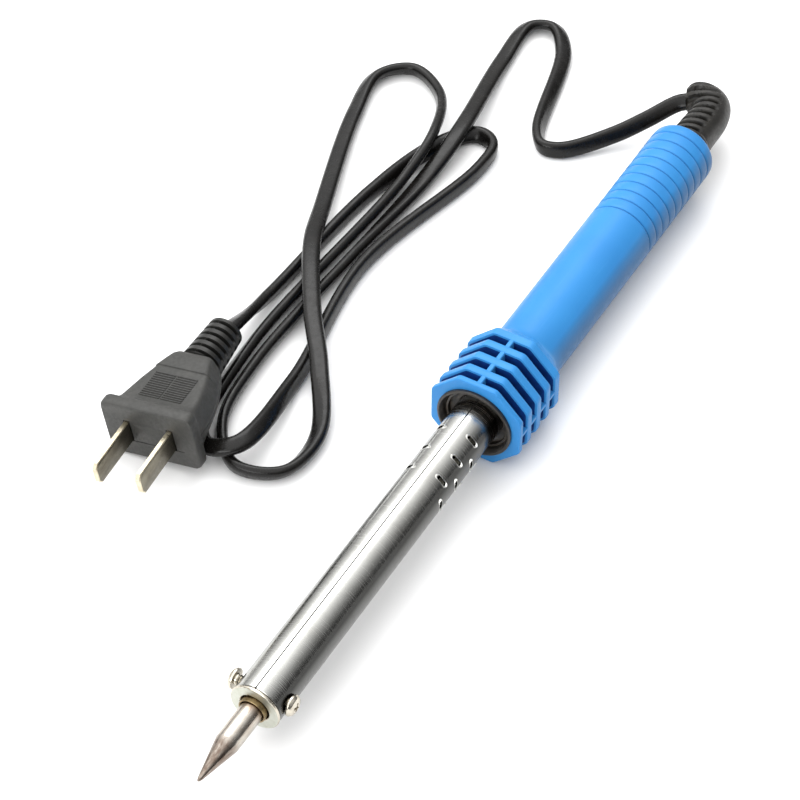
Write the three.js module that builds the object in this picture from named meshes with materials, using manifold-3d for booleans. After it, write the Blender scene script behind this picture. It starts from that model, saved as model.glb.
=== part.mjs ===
// Mains soldering iron with an octagonal finger guard, a bent cord boot and a two-pin plug.
// Units are millimetres. +X runs towards the bit tip, +Z is up, and z = 0 is the table.
// The origin is the centre of the middle guard plate's lowest flat.
import * as THREE from "three";
import { mergeVertices } from "three/addons/utils/BufferGeometryUtils.js";
import Module from "manifold-3d";

const wasm = await Module();
wasm.setup();

// Lines of the whole iron
const AXIS_Z = 13.0; // half the guard's size across flats
const FIT = 0.3; // gap left between two pieces that touch in the real iron
const SNUG = 0.15; // gap between the thin layers inside the barrel
const AROUND = 36; // facets round the large turned pieces
const AROUND_SMALL = 20; // facets round pieces under 8 mm across
const DEG = Math.PI / 180;

// Guard and handle
const GUARD_FLATS = 26.0;
const GUARD_FRONT = 10.15;
const GUARD_CHAMFER = 0.5;
const GUARD_CORE_R = 10.0; // wall seen at the bottom of the slots
const GUARD_BORE_R = 8.8;
const GUARD_BORE_REAR = -8.0;
const COUNTERBORE_R = 9.9;
const COUNTERBORE_REAR = 8.9;
const GUARD_SLOTS = [
  [6.1, 8.55],
  [1.25, 3.8],
  [-3.8, -1.15],
  [-8.55, -6.05],
];
const RIB_WIDTH = 1.3;
const RIB_COUNT = 4;
const GUARD_BACK = -10.8; // where the guard's facets start to slope down to the handle
const SLOPE_REAR = -16.5; // where they run out into the handle
const HANDLE_REAR = -109.5;
const HANDLE_FRONT_R = 9.4;
const HANDLE_REAR_R = 9.6;
const HANDLE_EDGE = 0.9;
const HANDLE_BORE_R = 7.4;
const HANDLE_END_WALL = 2.2;
const CORD_HOLE_R = 5.5;
const GROOVE_COUNT = 10;
const GROOVE_PITCH = 3.92;
const GROOVE_FIRST = HANDLE_REAR + 4.15;
const GROOVE_WIDTH = 1.0;
const GROOVE_DEPTH = 0.55;

// Front bush
const BUSH_RIM_R = 10.7;
const BUSH_RIM_FRONT = 11.25;
const BUSH_CUP_R = 9.2;
const BUSH_FUNNEL_FRONT = 9.9;
const BUSH_FUNNEL_R = 8.0;
const BUSH_CUP_FLOOR = 7.4;
const BUSH_REAR = -2.0;

// Barrel tube and its ring
const TUBE_R = 6.55;
const TUBE_BORE_R = 6.05;
const TUBE_FRONT = 114.0;
const TUBE_REAR = -7.0;
const SEAM_WIDTH = 0.3;
const SEAM_DEPTH = 0.15;
const NOTCH_LENGTH = 1.6;
const RING_FRONT = BUSH_REAR - FIT;
const RING_LENGTH = 2.3;
const VENT_LENGTH = 3.5;
const VENT_WIDTH = 1.2;
const DIAGONAL_VENTS = { angles: [45, 135, 225, 315], stations: [20.2, 27.9, 35.6] };
const SQUARE_VENTS = { angles: [90, 180, 270], stations: [23.9, 31.6, 39.3] };

// End collar, bit and its two screws
const COLLAR_REAR = 104.0;
const FLANGE_REAR = TUBE_FRONT + FIT;
const FLANGE_FRONT = 115.05;
const FLANGE_R = 6.7;
const COLLAR_BODY_R = TUBE_BORE_R - FIT;
const COLLAR_HOLE_R = 3.9;
const BIT_R = 3.0;
const BIT_REAR = 60.0;
const BIT_SHOULDER = 126.9;
const BIT_TIP = 138.8;
const BIT_TIP_R = 0.5;
const SCREW_X = 109.95;
const SCREW_R = 1.5;
const SCREW_HEAD_R = 2.75;
const SCREW_HEAD_SEAT = TUBE_R + FIT;
const SCREW_HEAD_TOP = 8.5;
const RIGHT_SCREW_OUT = 1.2; // the right screw's head stands this much further out
const RECESS_SPAN = 2.9;
const RECESS_WIDTH = 0.6;
const RECESS_DEPTH = 1.1;

// Heating element, from the inside out, with each layer's inner and outer radius
const SLEEVE = { inner: 3.2, outer: 3.6, rear: 48.0, front: 116.2 };
const MICA_INNER = { inner: 3.75, outer: 3.95, rear: 50.0, front: 101.0 };
const MICA_OUTER = { inner: 4.7, outer: 4.9, rear: 51.0, front: 100.0 };
const CASE = { inner: 5.05, outer: 5.45, rear: 46.0, front: 102.5 };
const WIRE_R = 0.2;
const WINDING_R = (MICA_INNER.outer + MICA_OUTER.inner) / 2;
const WINDING_REAR = 54.0;
const WINDING_FRONT = 97.0;
const WINDING_TURNS = 14;

// Inside of the handle
const INSULATOR_FRONT = GUARD_BORE_REAR - FIT;
const INSULATOR_LENGTH = 12.0;
const LEAD_SPACING = 5.4;
const LEAD_R = 0.9;
const LEAD_FRONT = 45.0;
const LEAD_REAR = -50.0;
const TERMINAL_R = 2.0;
const TERMINAL_FRONT = -44.0;
const TERMINAL_REAR = -60.0;
const CORE_R = 1.1;
const CORE_FRONT = -54.0;
const CLIP_FRONT = -86.0;
const CLIP_REAR = -95.0;
const CLIP_R = HANDLE_BORE_R - FIT;

// Flat two-core cord
const CORD_WIDTH = 5.0;
const CORD_THICK = 3.1;
const CORD_STEPS_PER_POINT = 2;
// x, y, z and the lean of the cord's wide side from level, in degrees, from boot to plug
const CORD_ROUTE = [
  [-131.7, -8.1, 11.5, -40], [-130.1, -11.6, 10.3, -43], [-122.6, -17.8, 7.0, -50],
  [-115.2, -24.1, 4.2, -58], [-103.4, -34.6, 2.65, -75],
  [-101.9, -40.2, 2.6, -95], [-106.8, -44.3, 2.6, -115], [-143, -55.2, 2.2, -160],
  [-151.3, -62.8, 2.5, -135], [-148.4, -69.4, 2.5, -140], [-130, -68.8, 2.2, -178],
  [-91, -61.9, 6.3, -180], [-71, -62.4, 2.8, -170], [-36, -64.1, 2.55, -115],
  [14, -65.1, 2.55, -115], [35.5, -60.7, 2.6, -95], [46.2, -49.8, 2.6, -75],
  [41.8, -38.4, 2.6, -60], [27, -37, 2.8, -35], [8, -48, 6.0, -5],
  [-7.5, -59.6, 7.4, 0], [-30, -73.6, 7.5, 0], [-47, -80.6, 4.5, 0],
  [-88, -94.8, 2.1, -20], [-105.6, -97.4, 2.5, -50], [-113, -89.4, 2.6, -65],
  [-106, -76.6, 3.4, -90], [-86, -67.6, 7.1, -108], [-66, -67.2, 3.6, -115],
  [6, -69.7, 2.85, -118], [39.8, -64.9, 2.6, -150], [45.6, -58.2, 4.9, -165],
  [42.6, -50.8, 7.2, -165], [13, -52.6, 3.1, -105], [-34, -59.8, 2.75, -90],
  [-84, -51.4, 2.6, -90], [-95.2, -52.9, 2.6, -85], [-97.2, -58.8, 2.4, -50],
  [-90, -65.6, 2.15, -25], [-62, -72.6, 2.8, -88], [-8, -75.3, 3.6, -105],
  [12.6, -73.6, 10.6, -174],
];

// Cord boot
const BOOT_CENTRE = [
  [-109.8, 0, 13.0], [-118, 0, 13.0], [-126.2, 0, 13.0],
  [-130.6, -1.6, 12.7], [-132.6, -5.3, 12.1], [-131.4, -9.1, 11.3],
];
const BOOT_BASE_R = 5.9;
const BOOT_END_R = 4.4;
const BOOT_RIBS = 7;
const BOOT_RIBS_START = 0.16; // share of the boot's length before the first rib
const BOOT_WINDOW_DEPTH = 0.9;
const BOOT_NECK_R = CORD_HOLE_R - FIT;
const BOOT_FLANGE_R = HANDLE_BORE_R - FIT;
const BOOT_FLANGE_LENGTH = 2.0;
const BOOT_BORE_R = 3.1;
const BOOT_BORE_INTO_HANDLE = 8.0;
const TAIL_END_SHARE = 0.74; // share of the boot's length where the inner cord stops

// Plug, in its own frame: +X out of the face along the blades, +Z out of its top
const PLUG_FACE = [54.5, -69.9, 10.8];
const PLUG_HEADING = 5.0 * DEG;
const PLUG_ROLL = 9.3 * DEG;
const BLADE_LENGTH = 17.0;
const BLADE_HEIGHT = 6.5;
const BLADE_THICK = 1.5;
const BLADE_SPACING = 12.7;
const BLADE_ROOT = 5.0; // part of the blade held in the moulding
const BLADE_SLANT = 1.2;
const FACE_WIDTH = 27.0;
const FACE_HEIGHT = 17.6;
const FACE_FRONT = -0.4; // the bridge between the blades stands this far out of the face
const FLANGE_BACK = -3.6;
const SHOULDER = -26.3;
const RELIEF_END = -41.5;
const RELIEF_RINGS = 5;
const BRIDGE_WIDTH = 9.0;
const BRIDGE_HEIGHT = 6.0;
const BRIDGE_DEPTH = 3.0;
// station along the plug, half width, half height and corner sharpness of each body section
const PLUG_SECTIONS = [
  [FACE_FRONT, 13.1, 8.4, 6], [FACE_FRONT - 0.8, FACE_WIDTH / 2, FACE_HEIGHT / 2, 6],
  [FLANGE_BACK + 0.6, FACE_WIDTH / 2, FACE_HEIGHT / 2, 6], [FLANGE_BACK, 13.2, 8.4, 5],
  [-5.2, 12.9, 6.9, 3.4], [-7.5, 12.9, 6.2, 3], [-12, 12.2, 5.8, 3], [-17, 10.9, 5.7, 3],
  [-21, 9.3, 5.8, 3], [-24.5, 7.6, 5.9, 3], [SHOULDER, 6.7, 5.6, 3],
];

const STEEL = { metalness: 0.9, roughness: 0.3 };
const MATERIALS = {
  nickel: { color: 0xc9c5bb, ...STEEL },
  chrome: { color: 0xd8d8da, metalness: 1.0, roughness: 0.15 },
  brass: { color: 0xb8954f, ...STEEL },
  wire: { color: 0x8d8a86, ...STEEL },
  mica: { color: 0xcbbf9f, metalness: 0, roughness: 0.5 },
  ceramic: { color: 0xe8e2d4, metalness: 0, roughness: 0.7 },
  blue: { color: 0x3f9be8, metalness: 0, roughness: 0.4 },
  black: { color: 0x1d1b1a, metalness: 0, roughness: 0.5 },
  rubber: { color: 0x151515, metalness: 0, roughness: 0.6 },
  plug: { color: 0x4a4a48, metalness: 0, roughness: 0.7 },
};

const part = new THREE.Group();
part.name = "soldering_iron";

function solid(geometry) {
  const bare = new THREE.BufferGeometry();
  const source = geometry.index ? geometry.toNonIndexed() : geometry;
  bare.setAttribute("position", source.getAttribute("position"));
  const merged = mergeVertices(bare, 1e-4);
  return new wasm.Manifold(new wasm.Mesh({
    numProp: 3,
    vertProperties: merged.attributes.position.array,
    triVerts: new Uint32Array(merged.index.array),
  }));
}

function addPiece(name, body, material) {
  const mesh = body.getMesh();
  const geometry = new THREE.BufferGeometry();
  geometry.setAttribute("position", new THREE.BufferAttribute(mesh.vertProperties, 3));
  geometry.setIndex(new THREE.BufferAttribute(mesh.triVerts, 1));
  const piece = new THREE.Mesh(geometry, new THREE.MeshStandardMaterial(MATERIALS[material]));
  piece.name = name;
  part.add(piece);
}

// A body turned about the iron's axis. Its profile is [x, radius] pairs, closed on itself or
// on the axis, and it runs so that the solid lies between the profile and the axis.
function turned(profile, facets = AROUND, startAngle = 0) {
  const points = profile.map(([x, radius]) => new THREE.Vector2(radius, x));
  const geometry = new THREE.LatheGeometry(points, facets, startAngle);
  geometry.rotateZ(-Math.PI / 2);
  geometry.translate(0, 0, AXIS_Z);
  return solid(geometry);
}

function rod(rear, front, radius, facets = AROUND) {
  return turned([[rear, 0], [rear, radius], [front, radius], [front, 0]], facets);
}

function pipe(rear, front, inner, outer, facets = AROUND) {
  return turned([[rear, inner], [rear, outer], [front, outer], [front, inner], [rear, inner]], facets);
}

// A box between two corners, turned about the iron's axis by an angle from the top.
function boxRoundAxis(low, high, degrees = 0) {
  const size = high.map((value, i) => value - low[i]);
  const geometry = new THREE.BoxGeometry(...size);
  geometry.translate(...low.map((value, i) => value + size[i] / 2));
  geometry.rotateX(degrees * DEG);
  geometry.translate(0, 0, AXIS_Z);
  return solid(geometry);
}

// A closed body through a row of rings, each with the same number of points.
function lofted(rings) {
  const count = rings[0].length;
  const positions = rings.flat().flatMap((p) => [p.x, p.y, p.z]);
  const indices = [];
  for (let i = 0; i + 1 < rings.length; i += 1) {
    for (let j = 0; j < count; j += 1) {
      const a = i * count + j;
      const b = i * count + (j + 1) % count;
      indices.push(a, b, a + count, b, b + count, a + count);
    }
  }
  const last = (rings.length - 1) * count;
  for (let j = 1; j + 1 < count; j += 1) {
    indices.push(0, j + 1, j);
    indices.push(last, last + j, last + j + 1);
  }
  const geometry = new THREE.BufferGeometry();
  geometry.setAttribute("position", new THREE.Float32BufferAttribute(positions, 3));
  geometry.setIndex(indices);
  return solid(geometry);
}

function union(bodies) {
  return bodies.reduce((whole, body) => whole.add(body));
}

// Handle with its octagonal finger guard, moulded in one
function handleShell() {
  const flatsToCorners = 1 / Math.cos(Math.PI / 8);
  const cornerR = GUARD_FLATS / 2 * flatsToCorners;
  const chamferedR = (GUARD_FLATS / 2 - GUARD_CHAMFER) * flatsToCorners;
  const guard = turned([
    [SLOPE_REAR, 0], [SLOPE_REAR, HANDLE_FRONT_R], [GUARD_BACK, cornerR],
    [GUARD_FRONT - GUARD_CHAMFER, cornerR], [GUARD_FRONT, chamferedR], [GUARD_FRONT, 0],
  ], 8, Math.PI / 8);
  const grip = turned([
    [HANDLE_REAR, 0], [HANDLE_REAR, HANDLE_REAR_R - HANDLE_EDGE],
    [HANDLE_REAR + HANDLE_EDGE, HANDLE_REAR_R], [0, HANDLE_FRONT_R], [0, 0],
  ]);
  let shell = guard.add(grip);
  const reach = GUARD_FLATS;
  for (const [rear, front] of GUARD_SLOTS) {
    let cut = pipe(rear, front, GUARD_CORE_R, reach, 32);
    for (let i = 0; i < RIB_COUNT; i += 1) {
      const half = RIB_WIDTH / 2;
      cut = cut.subtract(boxRoundAxis([rear - 1, -half, 0], [front + 1, half, reach], i * 90));
    }
    shell = shell.subtract(cut);
  }
  for (let i = 0; i < GROOVE_COUNT; i += 1) {
    const middle = GROOVE_FIRST + i * GROOVE_PITCH;
    const half = GROOVE_WIDTH / 2;
    const floor = HANDLE_FRONT_R - GROOVE_DEPTH;
    shell = shell.subtract(pipe(middle - half, middle + half, floor, reach));
  }
  const hollow = turned([
    [HANDLE_REAR - 1, 0], [HANDLE_REAR - 1, CORD_HOLE_R],
    [HANDLE_REAR + HANDLE_END_WALL, CORD_HOLE_R], [HANDLE_REAR + HANDLE_END_WALL, HANDLE_BORE_R],
    [GUARD_BORE_REAR, HANDLE_BORE_R], [GUARD_BORE_REAR, GUARD_BORE_R],
    [COUNTERBORE_REAR, GUARD_BORE_R], [COUNTERBORE_REAR, COUNTERBORE_R],
    [GUARD_FRONT + 1, COUNTERBORE_R], [GUARD_FRONT + 1, 0],
  ]);
  return shell.subtract(hollow);
}

function frontBush() {
  const sleeveR = GUARD_BORE_R - FIT;
  const seatR = COUNTERBORE_R - FIT;
  const seatRear = COUNTERBORE_REAR + FIT;
  const boreR = TUBE_R + FIT;
  const rimBack = GUARD_FRONT + FIT;
  const lip = 0.3;
  return turned([
    [BUSH_REAR, boreR], [BUSH_REAR, sleeveR], [seatRear, sleeveR], [seatRear, seatR],
    [rimBack, seatR], [rimBack, BUSH_RIM_R], [BUSH_RIM_FRONT - lip, BUSH_RIM_R],
    [BUSH_RIM_FRONT, BUSH_RIM_R - lip], [BUSH_RIM_FRONT, BUSH_CUP_R],
    [BUSH_FUNNEL_FRONT, BUSH_CUP_R], [BUSH_CUP_FLOOR, BUSH_FUNNEL_R], [BUSH_CUP_FLOOR, boreR],
    [BUSH_REAR, boreR],
  ]);
}

// Radial hole through a wall on one side of the axis: side is +1 on the left (+Y), -1 on the right
function sideHole(x, radius, side, from, to) {
  const geometry = new THREE.CylinderGeometry(radius, radius, to - from, AROUND_SMALL);
  geometry.translate(x, side * (from + to) / 2, AXIS_Z);
  return solid(geometry);
}

function barrelTube() {
  let tube = pipe(TUBE_REAR, TUBE_FRONT, TUBE_BORE_R, TUBE_R);
  const half = VENT_WIDTH / 2;
  const reach = VENT_LENGTH / 2;
  for (const { angles, stations } of [DIAGONAL_VENTS, SQUARE_VENTS]) {
    for (const degrees of angles) {
      for (const x of stations) {
        tube = tube.subtract(boxRoundAxis([x - half, -reach, 4], [x + half, reach, 8], degrees));
      }
    }
  }
  for (const side of [-1, 1]) {
    tube = tube.subtract(sideHole(SCREW_X, SCREW_R + FIT, side, 4, 8));
  }
  const seamFloor = TUBE_R - SEAM_DEPTH;
  const seamHalf = SEAM_WIDTH / 2;
  tube = tube.subtract(boxRoundAxis([BUSH_RIM_FRONT, -seamHalf, seamFloor],
    [TUBE_FRONT + 1, seamHalf, TUBE_R + 1]));
  return tube.subtract(seamNotch());
}

// V-shaped notch where the rolled tube's two edges meet at its front end
function seamNotch() {
  const half = NOTCH_LENGTH / 2;
  const outline = new THREE.Shape([
    new THREE.Vector2(-NOTCH_LENGTH, 0), new THREE.Vector2(0.5, -half), new THREE.Vector2(0.5, half),
  ]);
  const geometry = new THREE.ExtrudeGeometry(outline, { depth: 2, bevelEnabled: false });
  geometry.translate(TUBE_FRONT, 0, AXIS_Z + TUBE_BORE_R - 0.5);
  return solid(geometry);
}

function endCollar() {
  let collar = turned([
    [COLLAR_REAR, COLLAR_HOLE_R], [COLLAR_REAR, COLLAR_BODY_R], [FLANGE_REAR, COLLAR_BODY_R],
    [FLANGE_REAR, FLANGE_R], [FLANGE_FRONT - FIT, FLANGE_R], [FLANGE_FRONT, FLANGE_R - FIT],
    [FLANGE_FRONT, COLLAR_HOLE_R], [COLLAR_REAR, COLLAR_HOLE_R],
  ]);
  for (const side of [-1, 1]) {
    collar = collar.subtract(sideHole(SCREW_X, SCREW_R + SNUG, side, 2, 8));
  }
  return collar;
}

function heaterSleeve() {
  let sleeve = pipe(SLEEVE.rear, SLEEVE.front, SLEEVE.inner, SLEEVE.outer);
  for (const side of [-1, 1]) {
    sleeve = sleeve.subtract(sideHole(SCREW_X, SCREW_R + SNUG, side, 2, 5));
  }
  return sleeve;
}

function solderingBit() {
  return turned([
    [BIT_REAR, 0], [BIT_REAR, BIT_R - FIT], [BIT_REAR + FIT, BIT_R], [BIT_SHOULDER, BIT_R],
    [BIT_TIP - BIT_TIP_R / 2, BIT_TIP_R], [BIT_TIP, BIT_TIP_R / 2], [BIT_TIP, 0],
  ], 32);
}

// Pan-head screw with a cross recess, pointing at the iron's axis from one side
function bitScrew(side) {
  const out = side > 0 ? 0 : RIGHT_SCREW_OUT;
  const seat = SCREW_HEAD_SEAT + out;
  const top = SCREW_HEAD_TOP + out;
  const headHeight = top - seat;
  const profile = [
    [BIT_R + FIT, 0], [BIT_R + FIT, SCREW_R], [seat, SCREW_R],
    [seat, SCREW_HEAD_R], [seat + headHeight * 0.45, SCREW_HEAD_R],
    [seat + headHeight * 0.85, SCREW_HEAD_R * 0.72],
    [top, SCREW_HEAD_R * 0.3], [top, 0],
  ];
  const points = profile.map(([y, radius]) => new THREE.Vector2(radius, y));
  let screw = solid(new THREE.LatheGeometry(points, AROUND_SMALL));
  for (const [across, along] of [[RECESS_SPAN, RECESS_WIDTH], [RECESS_WIDTH, RECESS_SPAN]]) {
    const cut = new THREE.BoxGeometry(across, 2 * RECESS_DEPTH, along);
    cut.translate(0, top, 0);
    screw = screw.subtract(solid(cut));
  }
  return screw.rotate([side > 0 ? 0 : 180, 0, 0]).translate([SCREW_X, 0, AXIS_Z]);
}

// Resistance wire wound along the heated length, between the two mica sheets
class Helix extends THREE.Curve {
  getPoint(t, target = new THREE.Vector3()) {
    const angle = t * WINDING_TURNS * 2 * Math.PI;
    const x = THREE.MathUtils.lerp(WINDING_REAR, WINDING_FRONT, t);
    return target.set(x, WINDING_R * Math.cos(angle), AXIS_Z + WINDING_R * Math.sin(angle));
  }
}

function circle(radius, facets) {
  const points = [];
  for (let i = 0; i < facets; i += 1) {
    const angle = i / facets * 2 * Math.PI;
    points.push(new THREE.Vector2(radius * Math.cos(angle), radius * Math.sin(angle)));
  }
  return new THREE.Shape(points);
}

function heaterWinding() {
  const steps = WINDING_TURNS * 14;
  return solid(new THREE.ExtrudeGeometry(circle(WIRE_R, 5), { steps, extrudePath: new Helix() }));
}

// Ceramic plug that carries the two leads through the back of the barrel
function rearInsulator() {
  const rear = INSULATOR_FRONT - INSULATOR_LENGTH;
  let insulator = rod(rear, INSULATOR_FRONT, HANDLE_BORE_R - FIT);
  for (const side of [-1, 1]) {
    insulator = insulator.subtract(offsetRod(rear - 1, INSULATOR_FRONT + 1, LEAD_R + FIT, side));
  }
  return insulator;
}

// Straight rod beside the axis, on the line of one of the two conductors
function offsetRod(rear, front, radius, side) {
  const body = rod(rear, front, radius, 12);
  return body.translate([0, side * LEAD_SPACING / 2, 0]);
}

function crimpTerminal(side) {
  const sleeve = pipe(TERMINAL_REAR, TERMINAL_FRONT, CORE_R + FIT, TERMINAL_R, 16);
  const waist = pipe(TERMINAL_REAR + 6, TERMINAL_FRONT - 6, TERMINAL_R - 0.2, TERMINAL_R + 1, 16);
  return sleeve.subtract(waist).translate([0, side * LEAD_SPACING / 2, 0]);
}

function oval(width, thick, facets) {
  const reach = (width - thick) / 2;
  const points = [];
  for (let i = 0; i < facets; i += 1) {
    const angle = (i + 0.5) / facets * 2 * Math.PI;
    const x = thick / 2 * Math.cos(angle);
    points.push(new THREE.Vector2(x + Math.sign(x) * reach, thick / 2 * Math.sin(angle)));
  }
  return new THREE.Shape(points);
}

// A smooth line for a flat cord: it also holds how far the wide side leans from level.
class LeaningPath extends THREE.CatmullRomCurve3 {
  constructor(route) {
    super(route.map(([x, y, z]) => new THREE.Vector3(x, y, z)));
    this.leans = route.map((point) => point[3] * DEG);
  }

  getSpacedPoints(steps) {
    return this.getPoints(steps);
  }

  leanAt(t) {
    const place = t * (this.leans.length - 1);
    const before = Math.min(Math.floor(place), this.leans.length - 2);
    return THREE.MathUtils.lerp(this.leans[before], this.leans[before + 1], place - before);
  }

  computeFrenetFrames(steps) {
    const frames = { tangents: [], normals: [], binormals: [] };
    for (let i = 0; i <= steps; i += 1) {
      const tangent = this.getTangent(i / steps);
      const level = new THREE.Vector3(0, 0, 1).cross(tangent).normalize();
      const lean = this.leanAt(i / steps);
      const wide = level.applyAxisAngle(tangent, lean);
      frames.tangents.push(tangent);
      frames.normals.push(wide);
      frames.binormals.push(tangent.clone().cross(wide));
    }
    return frames;
  }
}

function mainsCord() {
  const steps = (CORD_ROUTE.length - 1) * CORD_STEPS_PER_POINT;
  const shape = oval(CORD_WIDTH, CORD_THICK, 12);
  const extrudePath = new LeaningPath(CORD_ROUTE);
  return solid(new THREE.ExtrudeGeometry(shape, { steps, extrudePath }));
}

function bootCurve() {
  return new THREE.CatmullRomCurve3(BOOT_CENTRE.map((p) => new THREE.Vector3(...p)));
}

// A ring of points round a middle point, square to a direction. radiusAt gives the radius
// at an angle, where angle 0 is on the left of the direction.
function ringRound(middle, direction, radiusAt, facets) {
  const left = new THREE.Vector3(0, 0, 1).cross(direction).normalize();
  const up = direction.clone().cross(left);
  const ring = [];
  for (let i = 0; i < facets; i += 1) {
    const angle = i / facets * 2 * Math.PI;
    ring.push(middle.clone().addScaledVector(left, radiusAt(angle) * Math.cos(angle))
      .addScaledVector(up, radiusAt(angle) * Math.sin(angle)));
  }
  return ring;
}

// Rings along the boot's centre line. Its bend is to the left, so angle 0 is its inside.
function bootRings(radiusAt, shares, facets) {
  const curve = bootCurve();
  return shares.map((share) => ringRound(
    curve.getPointAt(share), curve.getTangentAt(share), (angle) => radiusAt(share, angle), facets,
  ));
}

// Bore for the cord, run past both ends of the boot
function bootBore() {
  const curve = bootCurve();
  const radiusAt = () => BOOT_BORE_R;
  const [first, last] = [[0, -BOOT_BORE_INTO_HANDLE], [1, 1]].map(([share, push]) => {
    const direction = curve.getTangentAt(share);
    return ringRound(curve.getPointAt(share).addScaledVector(direction, push), direction, radiusAt, 16);
  });
  return lofted([first, ...bootRings(radiusAt, sharesBetween(0.05, 1, 16), 16), last]);
}

function sharesBetween(from, to, count) {
  return Array.from({ length: count + 1 }, (_, i) => from + (to - from) * i / count);
}

function cableBoot() {
  const ribPitch = (1 - BOOT_RIBS_START) / BOOT_RIBS;
  const shares = [0, 0.1, BOOT_RIBS_START];
  for (let i = 0; i < BOOT_RIBS; i += 1) {
    const start = BOOT_RIBS_START + i * ribPitch;
    shares.push(start + ribPitch * 0.1, start + ribPitch * 0.4, start + ribPitch * 0.5);
  }
  shares.push(1);
  const outerR = (share, angle) => {
    const smooth = THREE.MathUtils.lerp(BOOT_BASE_R, BOOT_END_R, share);
    const within = ((share - BOOT_RIBS_START) / ribPitch) % 1;
    const windowed = share > BOOT_RIBS_START && within > 0.05 && within < 0.45;
    const onSpine = Math.cos(angle) < -0.5;
    return windowed && !onSpine ? smooth - BOOT_WINDOW_DEPTH : smooth;
  };
  const outer = lofted(bootRings(outerR, shares, 24));
  const flangeRear = HANDLE_REAR + HANDLE_END_WALL + FIT;
  const neck = rod(BOOT_CENTRE[0][0] - 1, flangeRear + 1, BOOT_NECK_R);
  const flange = rod(flangeRear, flangeRear + BOOT_FLANGE_LENGTH, BOOT_FLANGE_R);
  return union([outer, neck, flange]).subtract(bootBore());
}

// The cord's hidden end, from inside the handle to near the mouth of the boot
function cordTail() {
  const curve = bootCurve();
  const route = [[CLIP_FRONT + 2, 0, AXIS_Z, 0], [-100, 0, AXIS_Z, 0]];
  for (const share of sharesBetween(0.05, TAIL_END_SHARE, 8)) {
    const point = curve.getPointAt(share);
    route.push([point.x, point.y, point.z, -40 * share]);
  }
  const steps = (route.length - 1) * CORD_STEPS_PER_POINT;
  const shape = oval(CORD_WIDTH, CORD_THICK, 12);
  return solid(new THREE.ExtrudeGeometry(shape, { steps, extrudePath: new LeaningPath(route) }));
}

// Clamp that stops a pull on the cord from reaching the terminals
function cordClip() {
  const block = rod(CLIP_REAR, CLIP_FRONT, CLIP_R, 32);
  const waist = pipe(CLIP_REAR + 2.5, CLIP_FRONT - 2.5, CLIP_R - 1, CLIP_R + 1, 32);
  const slot = boxRoundAxis([CLIP_REAR - 1, -CORD_WIDTH / 2 - FIT, -CORD_THICK / 2 - FIT],
    [CLIP_FRONT + 1, CORD_WIDTH / 2 + FIT, CORD_THICK / 2 + FIT]);
  return block.subtract(waist).subtract(slot);
}

// Section of the plug: a rounded oblong, squarer as sharpness grows
function plugRing([x, halfWidth, halfHeight, sharpness], facets = 32) {
  const ring = [];
  for (let i = 0; i < facets; i += 1) {
    const angle = i / facets * 2 * Math.PI;
    const across = Math.cos(angle);
    const up = Math.sin(angle);
    ring.push(new THREE.Vector3(
      x,
      halfWidth * Math.sign(across) * Math.abs(across) ** (2 / sharpness),
      halfHeight * Math.sign(up) * Math.abs(up) ** (2 / sharpness),
    ));
  }
  return ring.reverse();
}

function placePlug(body) {
  return body.rotate([PLUG_ROLL / DEG, 0, 0]).rotate([0, 0, PLUG_HEADING / DEG]).translate(PLUG_FACE);
}

function box(low, high) {
  return boxRoundAxis(low, high).translate([0, 0, -AXIS_Z]);
}

function blade(side) {
  const half = BLADE_HEIGHT / 2;
  const outline = new THREE.Shape([
    new THREE.Vector2(-BLADE_ROOT, -half), new THREE.Vector2(BLADE_LENGTH - BLADE_SLANT, -half),
    new THREE.Vector2(BLADE_LENGTH, -half + BLADE_SLANT),
    new THREE.Vector2(BLADE_LENGTH, half - BLADE_SLANT),
    new THREE.Vector2(BLADE_LENGTH - BLADE_SLANT, half), new THREE.Vector2(-BLADE_ROOT, half),
  ]);
  const bevel = 0.25;
  const geometry = new THREE.ExtrudeGeometry(outline, {
    depth: BLADE_THICK - 2 * bevel, bevelThickness: bevel, bevelSize: bevel, bevelOffset: -bevel,
    bevelSegments: 1,
  });
  geometry.rotateX(Math.PI / 2);
  geometry.translate(0, side * BLADE_SPACING / 2 + (BLADE_THICK - 2 * bevel) / 2, 0);
  return placePlug(solid(geometry));
}

function plugBody() {
  let body = lofted(PLUG_SECTIONS.map((section) => plugRing(section)));
  const grip = [-19.5, -7.0];
  const gripHalfWidth = 6.6;
  body = body.subtract(box([grip[0], -gripHalfWidth, 5.45], [grip[1], gripHalfWidth, 9]));
  const halfBlade = BLADE_HEIGHT / 2 + FIT;
  for (const side of [-1, 1]) {
    const middle = side * BLADE_SPACING / 2;
    const reach = BLADE_THICK / 2 + FIT;
    body = body.subtract(box([-BLADE_ROOT - FIT, middle - reach, -halfBlade],
      [1, middle + reach, halfBlade]));
  }
  const pocketWide = BRIDGE_WIDTH / 2 + FIT;
  const pocketHigh = BRIDGE_HEIGHT / 2 + FIT;
  const pocketFloor = FACE_FRONT - BRIDGE_DEPTH - FIT;
  body = body.subtract(box([pocketFloor, -pocketWide, -pocketHigh], [1, pocketWide, pocketHigh]));
  return placePlug(body);
}

function plugBridge() {
  return placePlug(box([FACE_FRONT - BRIDGE_DEPTH, -BRIDGE_WIDTH / 2, -BRIDGE_HEIGHT / 2],
    [0, BRIDGE_WIDTH / 2, BRIDGE_HEIGHT / 2]));
}

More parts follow.
